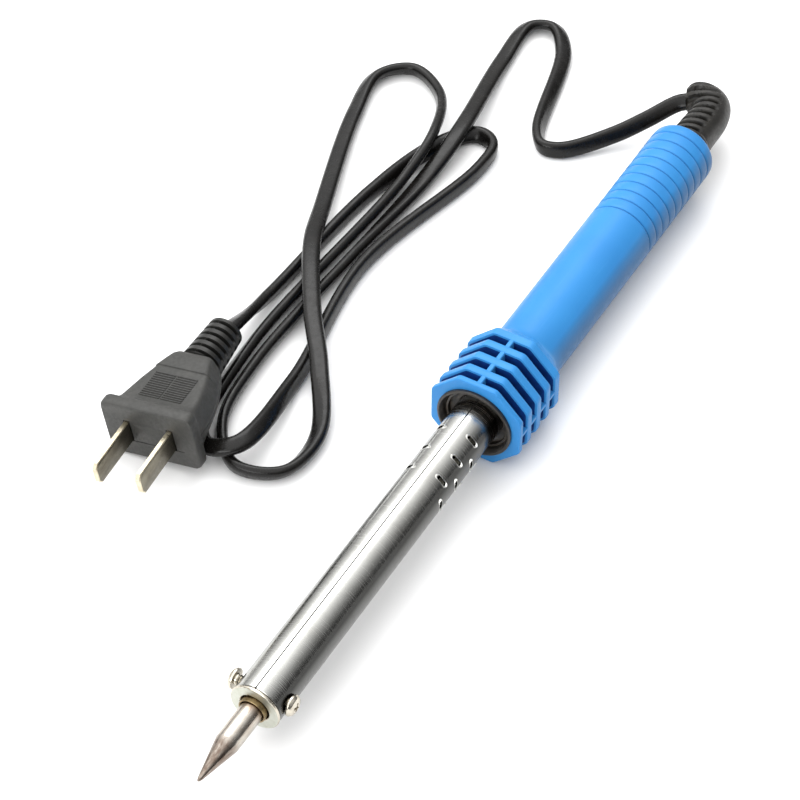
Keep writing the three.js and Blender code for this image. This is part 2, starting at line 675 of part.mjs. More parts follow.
// Ribbed strain relief behind the plug's shoulder, tapering towards the cord
function plugRelief() {
  const start = SHOULDER - FIT;
  const pitch = (start - RELIEF_END) / RELIEF_RINGS;
  const sections = [];
  for (let i = 0; i < RELIEF_RINGS; i += 1) {
    for (const [share, shrink] of [[0, 0], [0.55, 0], [0.6, 0.8], [0.95, 0.8]]) {
      const x = start - (i + share) * pitch;
      const radius = THREE.MathUtils.lerp(5.8, 4.8, (start - x) / (start - RELIEF_END)) - shrink;
      sections.push([x, radius, radius, 2.2]);
    }
  }
  sections.push([RELIEF_END, 4.7, 4.7, 2.2]);
  const body = lofted(sections.map((section) => plugRing(section, 20)));
  const bore = lofted([RELIEF_END + 4, RELIEF_END - 1].map((x) => plugRing([x, 2.95, 2.95, 2], 16)));
  return placePlug(body.subtract(bore));
}

addPiece("handle_shell", handleShell(), "blue");
addPiece("front_bush", frontBush(), "black");
addPiece("barrel_tube", barrelTube(), "chrome");
const ring = pipe(RING_FRONT - RING_LENGTH, RING_FRONT, TUBE_R + FIT, GUARD_BORE_R - FIT);
addPiece("tube_ring", ring, "nickel");
addPiece("end_collar", endCollar(), "nickel");
addPiece("soldering_bit", solderingBit(), "nickel");
addPiece("bit_screw_left", bitScrew(1), "nickel");
addPiece("bit_screw_right", bitScrew(-1), "nickel");
addPiece("heater_sleeve", heaterSleeve(), "brass");
addPiece("mica_inner", pipe(MICA_INNER.rear, MICA_INNER.front, MICA_INNER.inner, MICA_INNER.outer), "mica");
addPiece("heater_winding", heaterWinding(), "wire");
addPiece("mica_outer", pipe(MICA_OUTER.rear, MICA_OUTER.front, MICA_OUTER.inner, MICA_OUTER.outer), "mica");
addPiece("heater_case", pipe(CASE.rear, CASE.front, CASE.inner, CASE.outer), "nickel");
addPiece("rear_insulator", rearInsulator(), "ceramic");
for (const [name, side] of [["left", 1], ["right", -1]]) {
  addPiece("heater_lead_" + name, offsetRod(LEAD_REAR, LEAD_FRONT, LEAD_R, side), "ceramic");
  addPiece("terminal_" + name, crimpTerminal(side), "brass");
  addPiece("cord_core_" + name, offsetRod(CLIP_FRONT + 2 + FIT, CORE_FRONT, CORE_R, side), "rubber");
}
addPiece("cord_clip", cordClip(), "black");
addPiece("cord_tail", cordTail(), "rubber");
addPiece("cable_boot", cableBoot(), "rubber");
addPiece("mains_cord", mainsCord(), "rubber");
addPiece("plug_body", plugBody(), "plug");
addPiece("plug_bridge", plugBridge(), "plug");
addPiece("plug_blade_left", blade(1), "nickel");
addPiece("plug_blade_right", blade(-1), "nickel");
addPiece("plug_relief", plugRelief(), "plug");

export default part;
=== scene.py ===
"""Mains soldering iron with its cord and plug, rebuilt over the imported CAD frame.

Lengths are written in millimetres.
"""
import math

import bmesh
import bpy
import numpy as np
from mathutils import Matrix, Vector


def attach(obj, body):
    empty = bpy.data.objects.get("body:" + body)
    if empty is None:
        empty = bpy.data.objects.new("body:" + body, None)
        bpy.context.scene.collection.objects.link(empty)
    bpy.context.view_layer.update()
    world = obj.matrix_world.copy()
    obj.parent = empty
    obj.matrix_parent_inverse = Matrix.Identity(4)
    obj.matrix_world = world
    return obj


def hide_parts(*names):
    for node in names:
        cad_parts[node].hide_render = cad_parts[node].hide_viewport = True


MM = 0.001
AXIS_Z = 13.0  # height of the iron's axis over the table
TAU = 2 * math.pi

CAMERA_PLACE = (0.42295, 0.2190, 0.5176)  # in metres
CAMERA_BACK = (0.5914, 0.3455, 0.7287)  # from the iron towards the camera
CAMERA_LENS = 121.5

# Painted shade: the grip and the tube are darker low on their sides: (share of the span, level) stops up a
# span of z
GRIP_PAINTED_SHADE = [(0.0, 0.5), (0.49, 0.48), (0.58, 0.5), (0.66, 0.58), (0.75, 0.76), (0.82, 1.0)]
GRIP_PAINTED_SHADE_SPAN = (4.0, 22.4)
GRIP_PAINTED_SHADE_FADE = (-12.0, -20.0)  # none before the first x, and all of it past the second
# Painted reflection on the tube: darkest in a band where it would mirror a dark horizon, mid grey below
TUBE_PAINTED_REFLECTION = [
    (0.0, 0.40), (0.42, 0.32), (0.55, 0.25), (0.63, 0.20),
    (0.72, 0.09), (0.77, 0.13), (0.82, 0.55), (0.87, 1.0),
]
TUBE_PAINTED_REFLECTION_SPAN = (6.0, 19.6)

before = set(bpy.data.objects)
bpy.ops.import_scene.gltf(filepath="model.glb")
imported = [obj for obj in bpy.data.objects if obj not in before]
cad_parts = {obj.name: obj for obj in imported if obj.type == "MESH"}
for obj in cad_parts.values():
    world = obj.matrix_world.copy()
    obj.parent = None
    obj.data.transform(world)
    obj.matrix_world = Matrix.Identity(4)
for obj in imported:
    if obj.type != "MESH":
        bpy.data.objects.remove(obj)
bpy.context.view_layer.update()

# Camera and light


def add_camera():
    data = bpy.data.cameras.new("camera")
    data.lens = CAMERA_LENS
    data.sensor_width = 36
    camera = bpy.data.objects.new("camera", data)
    back = Vector(CAMERA_BACK).normalized()
    right = Vector((0, 0, 1)).cross(back).normalized()
    up = back.cross(right)
    turn = Matrix((right, up, back)).transposed().to_4x4()
    camera.matrix_world = Matrix.Translation(CAMERA_PLACE) @ turn
    bpy.context.collection.objects.link(camera)
    bpy.context.scene.camera = camera


def add_light(name, position, target, size, watts):
    data = bpy.data.lights.new(name, "AREA")
    data.shape = "RECTANGLE"
    data.size, data.size_y = size
    data.energy = watts
    light = bpy.data.objects.new(name, data)
    aim = (Vector(target) - Vector(position)).to_track_quat("-Z", "Y")
    light.matrix_world = Matrix.Translation(position) @ aim.to_matrix().to_4x4()
    bpy.context.collection.objects.link(light)


WORLD_RAMP = [(0.0, 0.03), (0.23, 0.06), (0.44, 0.14), (0.60, 0.32), (0.75, 0.6), (0.84, 1.0)]


def level_ramp(graph, stops):
    """A colour ramp through grey levels, from (position, level) stops."""
    ramp = graph.nodes.new("ShaderNodeValToRGB")
    while len(ramp.color_ramp.elements) < len(stops):
        ramp.color_ramp.elements.new(0.5)
    for element, (position, level) in zip(ramp.color_ramp.elements, stops):
        element.position = position
        element.color = (level, level, level, 1)
    return ramp


def add_world():
    """A soft studio dome: brightest overhead and towards -Y, dark low down on the +Y side."""
    world = bpy.data.worlds.new("studio")
    world.use_nodes = True
    bpy.context.scene.world = world
    graph = world.node_tree
    background = graph.nodes["Background"]
    place = graph.nodes.new("ShaderNodeTexCoord")
    lift = graph.nodes.new("ShaderNodeVectorMath")
    lift.operation = "DOT_PRODUCT"
    lift.inputs[1].default_value = (0, -0.35, 1)
    span = graph.nodes.new("ShaderNodeMapRange")
    span.inputs["From Min"].default_value = -0.40
    span.inputs["From Max"].default_value = 1.06
    ramp = level_ramp(graph, WORLD_RAMP)
    graph.links.new(place.outputs["Generated"], lift.inputs[0])
    graph.links.new(lift.outputs["Value"], span.inputs["Value"])
    graph.links.new(span.outputs[0], ramp.inputs[0])
    graph.links.new(ramp.outputs[0], background.inputs["Color"])
    background.inputs["Strength"].default_value = 2.3


def add_floor(material):
    mesh = bpy.data.meshes.new("floor")
    reach = 4.0
    corners = [(-reach, -reach, 0), (reach, -reach, 0), (reach, reach, 0), (-reach, reach, 0)]
    mesh.from_pydata(corners, [], [(0, 1, 2, 3)])
    floor = bpy.data.objects.new("floor", mesh)
    floor.data.materials.append(material)
    bpy.context.collection.objects.link(floor)


# Materials


class Paint:
    """One procedural material. Positions are the piece's own coordinates, in millimetres."""

    def __init__(self, name, color, roughness, metallic=0.0, **sockets):
        self.material = bpy.data.materials.new(name)
        self.material.use_nodes = True
        self.graph = self.material.node_tree
        self.shader = self.graph.nodes["Principled BSDF"]
        self.shader.inputs["Base Color"].default_value = (*color, 1)
        self.shader.inputs["Roughness"].default_value = roughness
        self.shader.inputs["Metallic"].default_value = metallic
        for socket, value in sockets.items():
            self.shader.inputs[socket.replace("_", " ")].default_value = value
        place = self.graph.nodes.new("ShaderNodeTexCoord")
        scale = self.graph.nodes.new("ShaderNodeVectorMath")
        scale.operation = "SCALE"
        scale.inputs["Scale"].default_value = 1 / MM
        self.graph.links.new(place.outputs["Object"], scale.inputs[0])
        self.place = scale.outputs[0]
        self.color = color
        self.normal = None

    def noise(self, per_mm, detail=3.0, rough=0.6, offset=0.0):
        """Noise from 0 to 1. per_mm is its scale along x, y and z, or one scale for all three."""
        scales = per_mm if hasattr(per_mm, "__len__") else (per_mm,) * 3
        stretch = self.graph.nodes.new("ShaderNodeMapping")
        stretch.inputs["Scale"].default_value = scales
        stretch.inputs["Location"].default_value = (offset, offset, offset)
        texture = self.graph.nodes.new("ShaderNodeTexNoise")
        texture.inputs["Scale"].default_value = 1.0
        texture.inputs["Detail"].default_value = detail
        texture.inputs["Roughness"].default_value = rough
        self.graph.links.new(self.place, stretch.inputs[0])
        self.graph.links.new(stretch.outputs[0], texture.inputs["Vector"])
        return texture.outputs["Fac"]

    def along(self, axis, start, end):
        """0 before start and 1 after end, along one axis, in millimetres."""
        split = self.graph.nodes.new("ShaderNodeSeparateXYZ")
        self.graph.links.new(self.place, split.inputs[0])
        return self.remap(split.outputs[axis], start, end, 0.0, 1.0)

    def remap(self, value, low, high, to_low, to_high):
        node = self.graph.nodes.new("ShaderNodeMapRange")
        for name, number in zip(("From Min", "From Max", "To Min", "To Max"), (low, high, to_low, to_high)):
            node.inputs[name].default_value = number
        self.graph.links.new(value, node.inputs["Value"])
        return node.outputs[0]

    def multiply(self, a, b):
        node = self.graph.nodes.new("ShaderNodeMath")
        node.operation = "MULTIPLY"
        self.graph.links.new(a, node.inputs[0])
        self.graph.links.new(b, node.inputs[1])
        return node.outputs[0]

    def tint(self, color, share):
        """Mixes a colour over what is there, by a share from 0 to 1."""
        mix = self.graph.nodes.new("ShaderNodeMix")
        mix.data_type = "RGBA"
        base = self.shader.inputs["Base Color"]
        if base.links:
            self.graph.links.new(base.links[0].from_socket, mix.inputs[6])
        else:
            mix.inputs[6].default_value = (*self.color, 1)
        mix.inputs[7].default_value = (*color, 1)
        self.graph.links.new(share, mix.inputs[0])
        self.graph.links.new(mix.outputs[2], base)

    def shade(self, stops, low, high, share=None):
        """Paints shade into the base colour: darkens it by (share of the way from low to high in z, level)
        stops.

        share, where it is given, is how much of that applies at each point.
        """
        ramp = level_ramp(self.graph, stops)
        self.graph.links.new(self.along("Z", low, high), ramp.inputs[0])
        mix = self.graph.nodes.new("ShaderNodeMix")
        mix.data_type = "RGBA"
        mix.blend_type = "MULTIPLY"
        mix.inputs[0].default_value = 1.0
        if share:
            self.graph.links.new(share, mix.inputs[0])
        base = self.shader.inputs["Base Color"]
        self.graph.links.new(base.links[0].from_socket, mix.inputs[6])
        self.graph.links.new(ramp.outputs[0], mix.inputs[7])
        self.graph.links.new(mix.outputs[2], base)

    def mottle(self, color, share, between, per_mm, detail, offset=0.0):
        """Mixes in a colour where noise is high, from none to share between two levels of the noise."""
        noise = self.noise(per_mm, detail, offset=offset)
        self.tint(color, self.remap(noise, *between, 0.0, share))

    def roughen(self, roughness, per_mm, detail):
        """Varies the roughness by noise, from the lower to the higher of two."""
        varied = self.remap(self.noise(per_mm, detail), 0.3, 0.7, *roughness)
        self.graph.links.new(varied, self.shader.inputs["Roughness"])

    def bump(self, millimetres, per_mm, detail, rough=0.6, offset=0.0):
        """Adds bumps, of a height and a noise of their own, to those already there."""
        height = self.noise(per_mm, detail, rough, offset)
        node = self.graph.nodes.new("ShaderNodeBump")
        node.inputs["Strength"].default_value = 1.0
        node.inputs["Distance"].default_value = millimetres * MM
        self.graph.links.new(height, node.inputs["Height"])
        if self.normal:
            self.graph.links.new(self.normal, node.inputs["Normal"])
        self.normal = node.outputs[0]
        self.graph.links.new(self.normal, self.shader.inputs["Normal"])
        return self


def edge_wear_and_highlight(paint, color, share, millimetres=0.25):
    """Lightens or darkens convex edges, from the bevelled normal."""
    bevel = paint.graph.nodes.new("ShaderNodeBevel")
    bevel.samples = 4
    bevel.inputs["Radius"].default_value = millimetres * MM
    geometry = paint.graph.nodes.new("ShaderNodeNewGeometry")
    dot = paint.graph.nodes.new("ShaderNodeVectorMath")
    dot.operation = "DOT_PRODUCT"
    paint.graph.links.new(bevel.outputs[0], dot.inputs[0])
    paint.graph.links.new(geometry.outputs["Normal"], dot.inputs[1])
    paint.tint(color, paint.remap(dot.outputs["Value"], 0.99, 0.8, 0.0, share))


def add_plastics(made):
    blue = Paint("blue_plastic", (0.038, 0.235, 0.56), 0.34, Specular_IOR_Level=0.16)
    blue.mottle((0.032, 0.20, 0.51), 0.6, (0.35, 0.7), 0.05, 2)
    blue.mottle((0.065, 0.29, 0.61), 0.3, (0.55, 0.8), (0.03, 0.6, 0.6), 3, offset=7)
    # Painted shade: the grip's blue darkens low on its sides, fading in behind the guard
    blue.shade(GRIP_PAINTED_SHADE, *GRIP_PAINTED_SHADE_SPAN, blue.along("X", *GRIP_PAINTED_SHADE_FADE))
    blue.roughen((0.28, 0.42), 0.8, 4)
    blue.bump(0.006, 9.0, 3).bump(0.03, 0.25, 2, offset=3)
    made["blue_plastic"] = blue.material

    # A darker copy of the blue: painted shade for the slots' walls, the core between the plates and the
    # grip's grooves
    shade_blue = Paint("blue_plastic_painted_shade", (0.005, 0.045, 0.22), 0.5, Specular_IOR_Level=0.2)
    shade_blue.mottle((0.004, 0.028, 0.14), 0.8, (0.35, 0.65), 0.6, 3)
    shade_blue.bump(0.01, 6.0, 3)
    made["blue_plastic_painted_shade"] = shade_blue.material

    bush = Paint("black_phenolic", (0.014, 0.012, 0.010), 0.38)
    bush.mottle((0.070, 0.052, 0.034), 0.7, (0.5, 0.75), 0.55, 4, offset=2)
    bush.roughen((0.26, 0.55), 1.2, 4)
    bush.bump(0.006, (3.0, 1.2, 1.2), 3)
    edge_wear_and_highlight(bush, (0.15, 0.12, 0.09), 0.6)
    made["black_phenolic"] = bush.material


def add_barrel_metals(made):
    chrome = Paint("chromed_steel", (0.46, 0.46, 0.44), 0.17, 1.0)
    chrome.mottle((0.34, 0.335, 0.31), 0.55, (0.45, 0.75), 0.09, 4)
    chrome.roughen((0.12, 0.30), (5.0, 0.12, 0.12), 4)
    chrome.bump(0.0035, (14.0, 0.10, 0.10), 4, 0.7)
    chrome.bump(0.006, (1.3, 0.3, 0.3), 3, offset=5)
    # Painted reflection: darker bands low on the tube's sides
    chrome.shade(TUBE_PAINTED_REFLECTION, *TUBE_PAINTED_REFLECTION_SPAN)
    made["chromed_steel"] = chrome.material

    # Painted highlight: the burrs are a far brighter copy of the tube's metal, so their lips read white
    burr_highlight = Paint("vent_burr", (0.86, 0.86, 0.83), 0.42, 1.0)
    burr_highlight.mottle((0.62, 0.61, 0.56), 0.7, (0.45, 0.7), 2.0, 3)
    burr_highlight.bump(0.01, 6.0, 3)
    made["vent_burr"] = burr_highlight.material

    seam = Paint("seam_shadow", (0.030, 0.028, 0.026), 0.6, 0.6)
    seam.mottle((0.075, 0.065, 0.055), 0.6, (0.5, 0.75), (0.4, 2.0, 2.0), 3)
    seam.bump(0.01, 5.0, 3)
    made["seam_shadow"] = seam.material


def add_plated_metals(made):
    nickel = Paint("nickel_plate", (0.56, 0.52, 0.44), 0.20, 1.0)
    nickel.mottle((0.36, 0.32, 0.25), 0.6, (0.5, 0.75), 0.5, 4)
    nickel.roughen((0.14, 0.32), 2.0, 4)
    nickel.bump(0.008, 3.0, 4)
    made["nickel_plate"] = nickel.material

    face = Paint("nickel_satin", (0.52, 0.53, 0.47), 0.40, 1.0)
    face.mottle((0.42, 0.42, 0.34), 0.7, (0.45, 0.75), 0.6, 4)
    face.roughen((0.32, 0.5), 3.0, 4)
    face.bump(0.01, 4.0, 4)
    made["nickel_satin"] = face.material

    bit = Paint("bit_plate", (0.50, 0.47, 0.42), 0.24, 1.0)
    bit.mottle((0.33, 0.26, 0.20), 0.75, (0.42, 0.7), (0.25, 0.9, 0.9), 4)
    cone = bit.along("X", 125.5, 128.5)
    streaks = bit.remap(bit.noise((0.3, 1.2, 1.2), 3, offset=4), 0.3, 0.6, 0.5, 1.0)
    bit.tint((0.15, 0.112, 0.090), bit.multiply(cone, streaks))
    bit.tint((0.20, 0.13, 0.09), bit.remap(bit.along("X", 119.0, 117.0), 0, 1, 0.0, 0.7))
    bit.roughen((0.16, 0.3), (0.6, 2.5, 2.5), 4)
    bit.bump(0.006, (0.5, 6.0, 6.0), 4)
    made["bit_plate"] = bit.material

    # Painted reflection: the flats are a darker copy of the blades' plating, darker still towards the face
    # where they would mirror the plug
    flats = Paint("blade_flat_painted_reflection", (0.20, 0.185, 0.145), 0.34, 1.0)
    flats.mottle((0.10, 0.085, 0.06), 0.8, (0.4, 0.7), (0.18, 0.18, 0.5), 4)
    flats.tint((0.07, 0.06, 0.045), flats.remap(flats.along("X", 5.0, 1.0), 0, 1, 0.0, 0.75))
    flats.roughen((0.26, 0.48), 1.4, 4)
    flats.bump(0.01, (0.6, 0.6, 6.0), 4)
    made["blade_flat_painted_reflection"] = flats.material

    # Painted highlight: the edges and ends are a brighter copy of the same plating, brightest on their convex
    # edges
    blades = Paint("blade_edge_painted_highlight", (0.66, 0.60, 0.46), 0.30, 1.0)
    blades.mottle((0.42, 0.35, 0.23), 0.7, (0.4, 0.7), (0.3, 0.3, 0.5), 4)
    blades.roughen((0.24, 0.45), 1.4, 4)
    blades.bump(0.01, (0.6, 0.6, 6.0), 4)
    edge_wear_and_highlight(blades, (0.92, 0.84, 0.62), 0.8, 0.3)
    made["blade_edge_painted_highlight"] = blades.material


def add_inside_materials(made):
    brass = Paint("brass", (0.58, 0.42, 0.18), 0.32, 1.0)
    brass.mottle((0.30, 0.20, 0.08), 0.8, (0.4, 0.7), 0.7, 4)
    brass.bump(0.006, (8.0, 0.6, 0.6), 3)
    made["brass"] = brass.material

    # A darker copy of the brass: painted shade for the sleeve where it sits in the collar
    sleeve = Paint("sleeve_brass_painted_shade", (0.30, 0.22, 0.115), 0.34, 1.0)
    sleeve.mottle((0.13, 0.095, 0.055), 0.85, (0.4, 0.7), 0.9, 4)
    sleeve.bump(0.006, (8.0, 0.6, 0.6), 3)
    made["sleeve_brass_painted_shade"] = sleeve.material

    steel = Paint("plain_steel", (0.45, 0.44, 0.42), 0.4, 1.0)
    steel.mottle((0.28, 0.24, 0.20), 0.7, (0.45, 0.7), 0.3, 4)
    steel.bump(0.008, (6.0, 0.3, 0.3), 3)
    made["plain_steel"] = steel.material

    wire = Paint("resistance_wire", (0.28, 0.25, 0.24), 0.45, 1.0)
    wire.mottle((0.15, 0.11, 0.10), 0.8, (0.4, 0.7), 0.8, 3)
    wire.bump(0.01, 5.0, 3)
    made["resistance_wire"] = wire.material

    mica = Paint("mica", (0.52, 0.44, 0.30), 0.3)
    mica.mottle((0.35, 0.27, 0.15), 0.8, (0.4, 0.7), 0.4, 4)
    mica.bump(0.02, 1.5, 4)
    made["mica"] = mica.material

    ceramic = Paint("ceramic", (0.78, 0.74, 0.66), 0.7)
    ceramic.mottle((0.62, 0.56, 0.46), 0.7, (0.45, 0.75), 0.5, 4)
    ceramic.bump(0.03, 4.0, 4)
    made["ceramic"] = ceramic.material

    sleeving = Paint("lead_sleeving", (0.74, 0.70, 0.60), 0.85)
    sleeving.mottle((0.55, 0.50, 0.40), 0.7, (0.4, 0.7), 2.5, 3)
    sleeving.bump(0.08, 7.0, 2)
    made["lead_sleeving"] = sleeving.material


def add_cord_materials(made):
    cord = Paint("cord_pvc", (0.0040, 0.0037, 0.0034), 0.24, IOR=1.55, Specular_IOR_Level=0.22)
    cord.mottle((0.009, 0.008, 0.007), 0.8, (0.45, 0.75), 0.12, 3)
    cord.roughen((0.16, 0.34), 0.5, 4)
    cord.bump(0.03, 1.6, 3).bump(0.06, 0.35, 2, offset=9)
    made["cord_pvc"] = cord.material

    boot = Paint("boot_rubber", (0.011, 0.010, 0.0085), 0.40, Specular_IOR_Level=0.42)
    boot.mottle((0.024, 0.021, 0.016), 0.8, (0.45, 0.75), 0.4, 4)
    boot.roughen((0.34, 0.55), 1.0, 4)
    boot.bump(0.02, 4.0, 4)
    made["boot_rubber"] = boot.material

    plug = Paint("plug_pvc", (0.029, 0.029, 0.0265), 0.5)
    plug.mottle((0.042, 0.041, 0.037), 0.8, (0.4, 0.7), 0.2, 3)
    plug.roughen((0.45, 0.68), 1.0, 4)
    plug.bump(0.02, 5.5, 4).bump(0.05, 0.5, 3, offset=5)
    made["plug_pvc"] = plug.material

    relief = Paint("relief_pvc", (0.008, 0.008, 0.007), 0.42, Specular_IOR_Level=0.4)
    relief.mottle((0.022, 0.021, 0.019), 0.7, (0.4, 0.7), 0.5, 3)
    relief.bump(0.02, 5.0, 4)
    made["relief_pvc"] = relief.material


def make_materials():
    """Every material by its name."""
    made = {}
    add_plastics(made)
    add_barrel_metals(made)
    add_plated_metals(made)
    add_inside_materials(made)
    add_cord_materials(made)
    paper = Paint("studio_floor", (0.93, 0.93, 0.93), 0.9)
    paper.bump(0.01, 0.05, 2)
    made["studio_floor"] = paper.material
    return made


# Meshes


def add_mesh(name, parts, materials, sharp_degrees=35):
    """One object from (vertices in mm, faces, material index) parts, smooth between its sharp edges."""
    vertices, faces, slots = [], [], []
    for points, polygons, index in parts:
        start = len(vertices)
        vertices.extend((np.asarray(points, float) * MM).tolist())
        faces.extend([tuple(start + v for v in polygon) for polygon in polygons])
        slots.extend([index] * len(polygons))
    mesh = bpy.data.meshes.new(name)
    mesh.from_pydata(vertices, [], faces)
    mesh.polygons.foreach_set("material_index", slots)
    work = bmesh.new()
    work.from_mesh(mesh)
    bmesh.ops.recalc_face_normals(work, faces=work.faces)
    work.to_mesh(mesh)
    work.free()
    mesh.shade_smooth()
    mesh.set_sharp_from_angle(angle=math.radians(sharp_degrees))
    for material in materials:
        mesh.materials.append(material)
    obj = bpy.data.objects.new(name, mesh)
    bpy.context.collection.objects.link(obj)
    return obj


def loft(rings, closed=False, caps=True, index=0):
    """A skin through rings of the same number of points. closed joins the last ring to the first."""
    rings = np.asarray(rings, float)
    count, around = rings.shape[:2]
    faces = []
    for i in range(count if closed else count - 1):
        for j in range(around):
            k = (j + 1) % around
            n = (i + 1) % count
            faces.append((i * around + j, i * around + k, n * around + k, n * around + j))
    if caps and not closed:
        faces.append(tuple(range(around)))
        faces.append(tuple((count - 1) * around + j for j in range(around)))
    return rings.reshape(-1, 3), faces, index


def rounded(corners, steps=4):
    """A line through (x, radius, rounding) corners, each rounded by an arc of that radius."""
    line = []
    for i, (x, r, rounding) in enumerate(corners):
        here = np.array([x, r], float)
        if rounding <= 0 or i in (0, len(corners) - 1):
            line.append(here)
            continue
        before = np.array(corners[i - 1][:2], float) - here
        after = np.array(corners[i + 1][:2], float) - here
        before_length, after_length = np.linalg.norm(before), np.linalg.norm(after)
        before, after = before / before_length, after / after_length
        half = math.acos(np.clip(before @ after, -1, 1)) / 2
        reach = min(rounding / math.tan(half), 0.48 * before_length, 0.48 * after_length)
        for t in np.linspace(0, 1, steps + 1):
            start, end = here + before * reach, here + after * reach
            line.append((1 - t) ** 2 * start + 2 * t * (1 - t) * here + t * t * end)
    return np.array(line)


def turned(corners, around, steps=4):
    """A body turned about the iron's axis, from (x, radius, rounding) corners."""
    line = rounded(corners, steps)
    angles = np.linspace(0, TAU, around, endpoint=False)
    rings = [
        np.stack([np.full(around, x), r * np.sin(angles), AXIS_Z + r * np.cos(angles)], 1) for x, r in line
    ]
    return loft(rings, caps=False)


def evaluated(obj):
    """Applies an object's modifiers."""
    graph = bpy.context.evaluated_depsgraph_get()
    mesh = bpy.data.meshes.new_from_object(obj.evaluated_get(graph), depsgraph=graph)
    obj.modifiers.clear()
    obj.data = mesh
    return obj


def make_cutter(rings):
    return add_mesh("cutter", [loft(rings)], [])


def cut(obj, cutters, sharp_degrees=35):
    """Takes each cutter out of a piece, and removes the cutters."""
    for cutter in cutters:
        tool = obj.modifiers.new("cut", "BOOLEAN")
        tool.operation = "DIFFERENCE"
        tool.solver = "EXACT"
        tool.object = cutter
    evaluated(obj)
    for cutter in cutters:
        bpy.data.objects.remove(cutter)
    obj.data.shade_smooth()
    obj.data.set_sharp_from_angle(angle=math.radians(sharp_degrees))
    return obj


def finish_piece(obj, body, slot, *nodes):
    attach(obj, body)
    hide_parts(*nodes)
    return obj


def catmull_rom(points, per_segment):
    """Points on a centripetal Catmull-Rom line. Columns past the third are carried along linearly."""
    p = np.asarray(points, float)
    p = np.vstack([2 * p[0] - p[1], p, 2 * p[-1] - p[-2]])
    line = []
    for i in range(1, len(p) - 2):
        a, b, c, d = p[i - 1 : i + 3, :3]
        steps = [max(np.linalg.norm(v) ** 0.5, 1e-4) for v in (b - a, c - b, d - c)]
        start = ((b - a) / steps[0] - (c - a) / (steps[0] + steps[1]) + (c - b) / steps[1]) * steps[1]
        end = ((c - b) / steps[1] - (d - b) / (steps[1] + steps[2]) + (d - c) / steps[2]) * steps[1]
        last = i == len(p) - 3
        for t in np.linspace(0, 1, per_segment + 1)[: None if last else -1]:
            square = 3 * (c - b) - 2 * start - end
            cube = 2 * (b - c) + start + end
            place = b + start * t + square * t**2 + cube * t**3
            line.append(np.concatenate([place, p[i, 3:] * (1 - t) + p[i + 1, 3:] * t]))
    return np.array(line)


def frames_along(line):
    """Heading, left and up at each point of a line."""
    heading = np.gradient(line[:, :3], axis=0)
    heading /= np.linalg.norm(heading, axis=1)[:, None]
    left = np.cross([0, 0, 1], heading)
    left /= np.linalg.norm(left, axis=1)[:, None]
    return heading, left, np.cross(heading, left)


# Handle and guard

GUARD_APOTHEM = 13.0
GUARD_FRONT = 10.15
PLATES = [(8.55, GUARD_FRONT), (3.8, 6.1), (-1.15, 1.25), (-6.05, -3.8)]
GUARD_REAR = -8.55
GUARD_BACK = -10.8  # where the guard's facets start to fall to the handle
BLEND_REAR = -16.5  # where they run out into it
CORE_R = 9.9
CORE_BORE_R, CORE_FRONT = 9.3, 9.1
BUSH_SEAT_R = 10.0
RIB_FRONT = 9.0
SLOT_SHADE = 12.3  # the slots' walls are painted a deeper blue, as painted shade, from here inwards
SLOT_FACE_R = 11.9  # the middles of those painted-shade faces lie within this radius
PLATE_BEVEL = 0.28
RIB_WIDTH = 1.3
HANDLE_REAR = -109.5
GROOVES = [-105.35 + 3.92 * i for i in range(10)]
AROUND = 128


def octagon_ring(x, apothem, round_share=0.0, round_r=0.0, softness=70):
    """A ring of points on an octagon with soft corners, turned towards a circle by round_share."""
    angles = np.linspace(0, TAU, AROUND, endpoint=False)
    facets = np.arange(8) * TAU / 8
    reach = np.clip(np.cos(angles[:, None] - facets[None]), 0, 1) ** softness
    eight = apothem / reach.sum(1) ** (1 / softness)
    r = eight * (1 - round_share) + round_r * round_share
    return np.stack([np.full(AROUND, x), r * np.sin(angles), AXIS_Z + r * np.cos(angles)], 1)


def circle_ring(x, r):
    return octagon_ring(x, 1.0, 1.0, r)


def handle_radius(x):
    return np.interp(x, [HANDLE_REAR, -12], [9.6, 9.4])


def grip_rings():
    """Rings from the rear edge to the guard: an edge, ten crowned bands and the blend to the octagon."""
    stations = [(-107.3, 5.6), (HANDLE_REAR + 0.15, 5.6), (HANDLE_REAR, 5.9), (HANDLE_REAR, 7.9)]
    for t in np.linspace(0, 1, 7):
        stations.append((HANDLE_REAR + 1.3 * (1 - math.cos(t * TAU / 4)), 8.2 + 1.3 * math.sin(t * TAU / 4)))
    edges = [HANDLE_REAR + 1.3, *GROOVES]
    half, depth, crown = 0.28, 0.42, 0.10
    for start, end in zip(edges[:-1], edges[1:]):
        for t in np.linspace(0, 1, 9)[1:-1]:
            x = start + half + (end - start - 2 * half) * t
            stations.append((x, handle_radius(x) - crown * (2 * t - 1) ** 4))
        stations.append((end - half, handle_radius(end) - 0.16))
        stations.append((end - 0.10, handle_radius(end) - depth))
        stations.append((end + 0.10, handle_radius(end) - depth))
        stations.append((end + half, handle_radius(end) - 0.12))
    for x in (GROOVES[-1] + 0.5, GROOVES[-1] + 1.0, -60, -45, -30, BLEND_REAR - 2.5, BLEND_REAR - 1.0):
        stations.append((x, handle_radius(x)))
    rings = [circle_ring(x, r) for x, r in stations]
    for t in np.linspace(0, 1, 14):
        x = BLEND_REAR + (GUARD_BACK - BLEND_REAR) * t
        rise = t**1.3
        apothem = handle_radius(x) - 0.2 + (GUARD_APOTHEM - handle_radius(x) + 0.2) * rise
        round_share = 1 - min(1, 1.7 * t) ** 1.2
        rings.append(octagon_ring(x, apothem, round_share, handle_radius(x) + 0.02 + 1.2 * rise, 40 + 30 * t))
    return rings


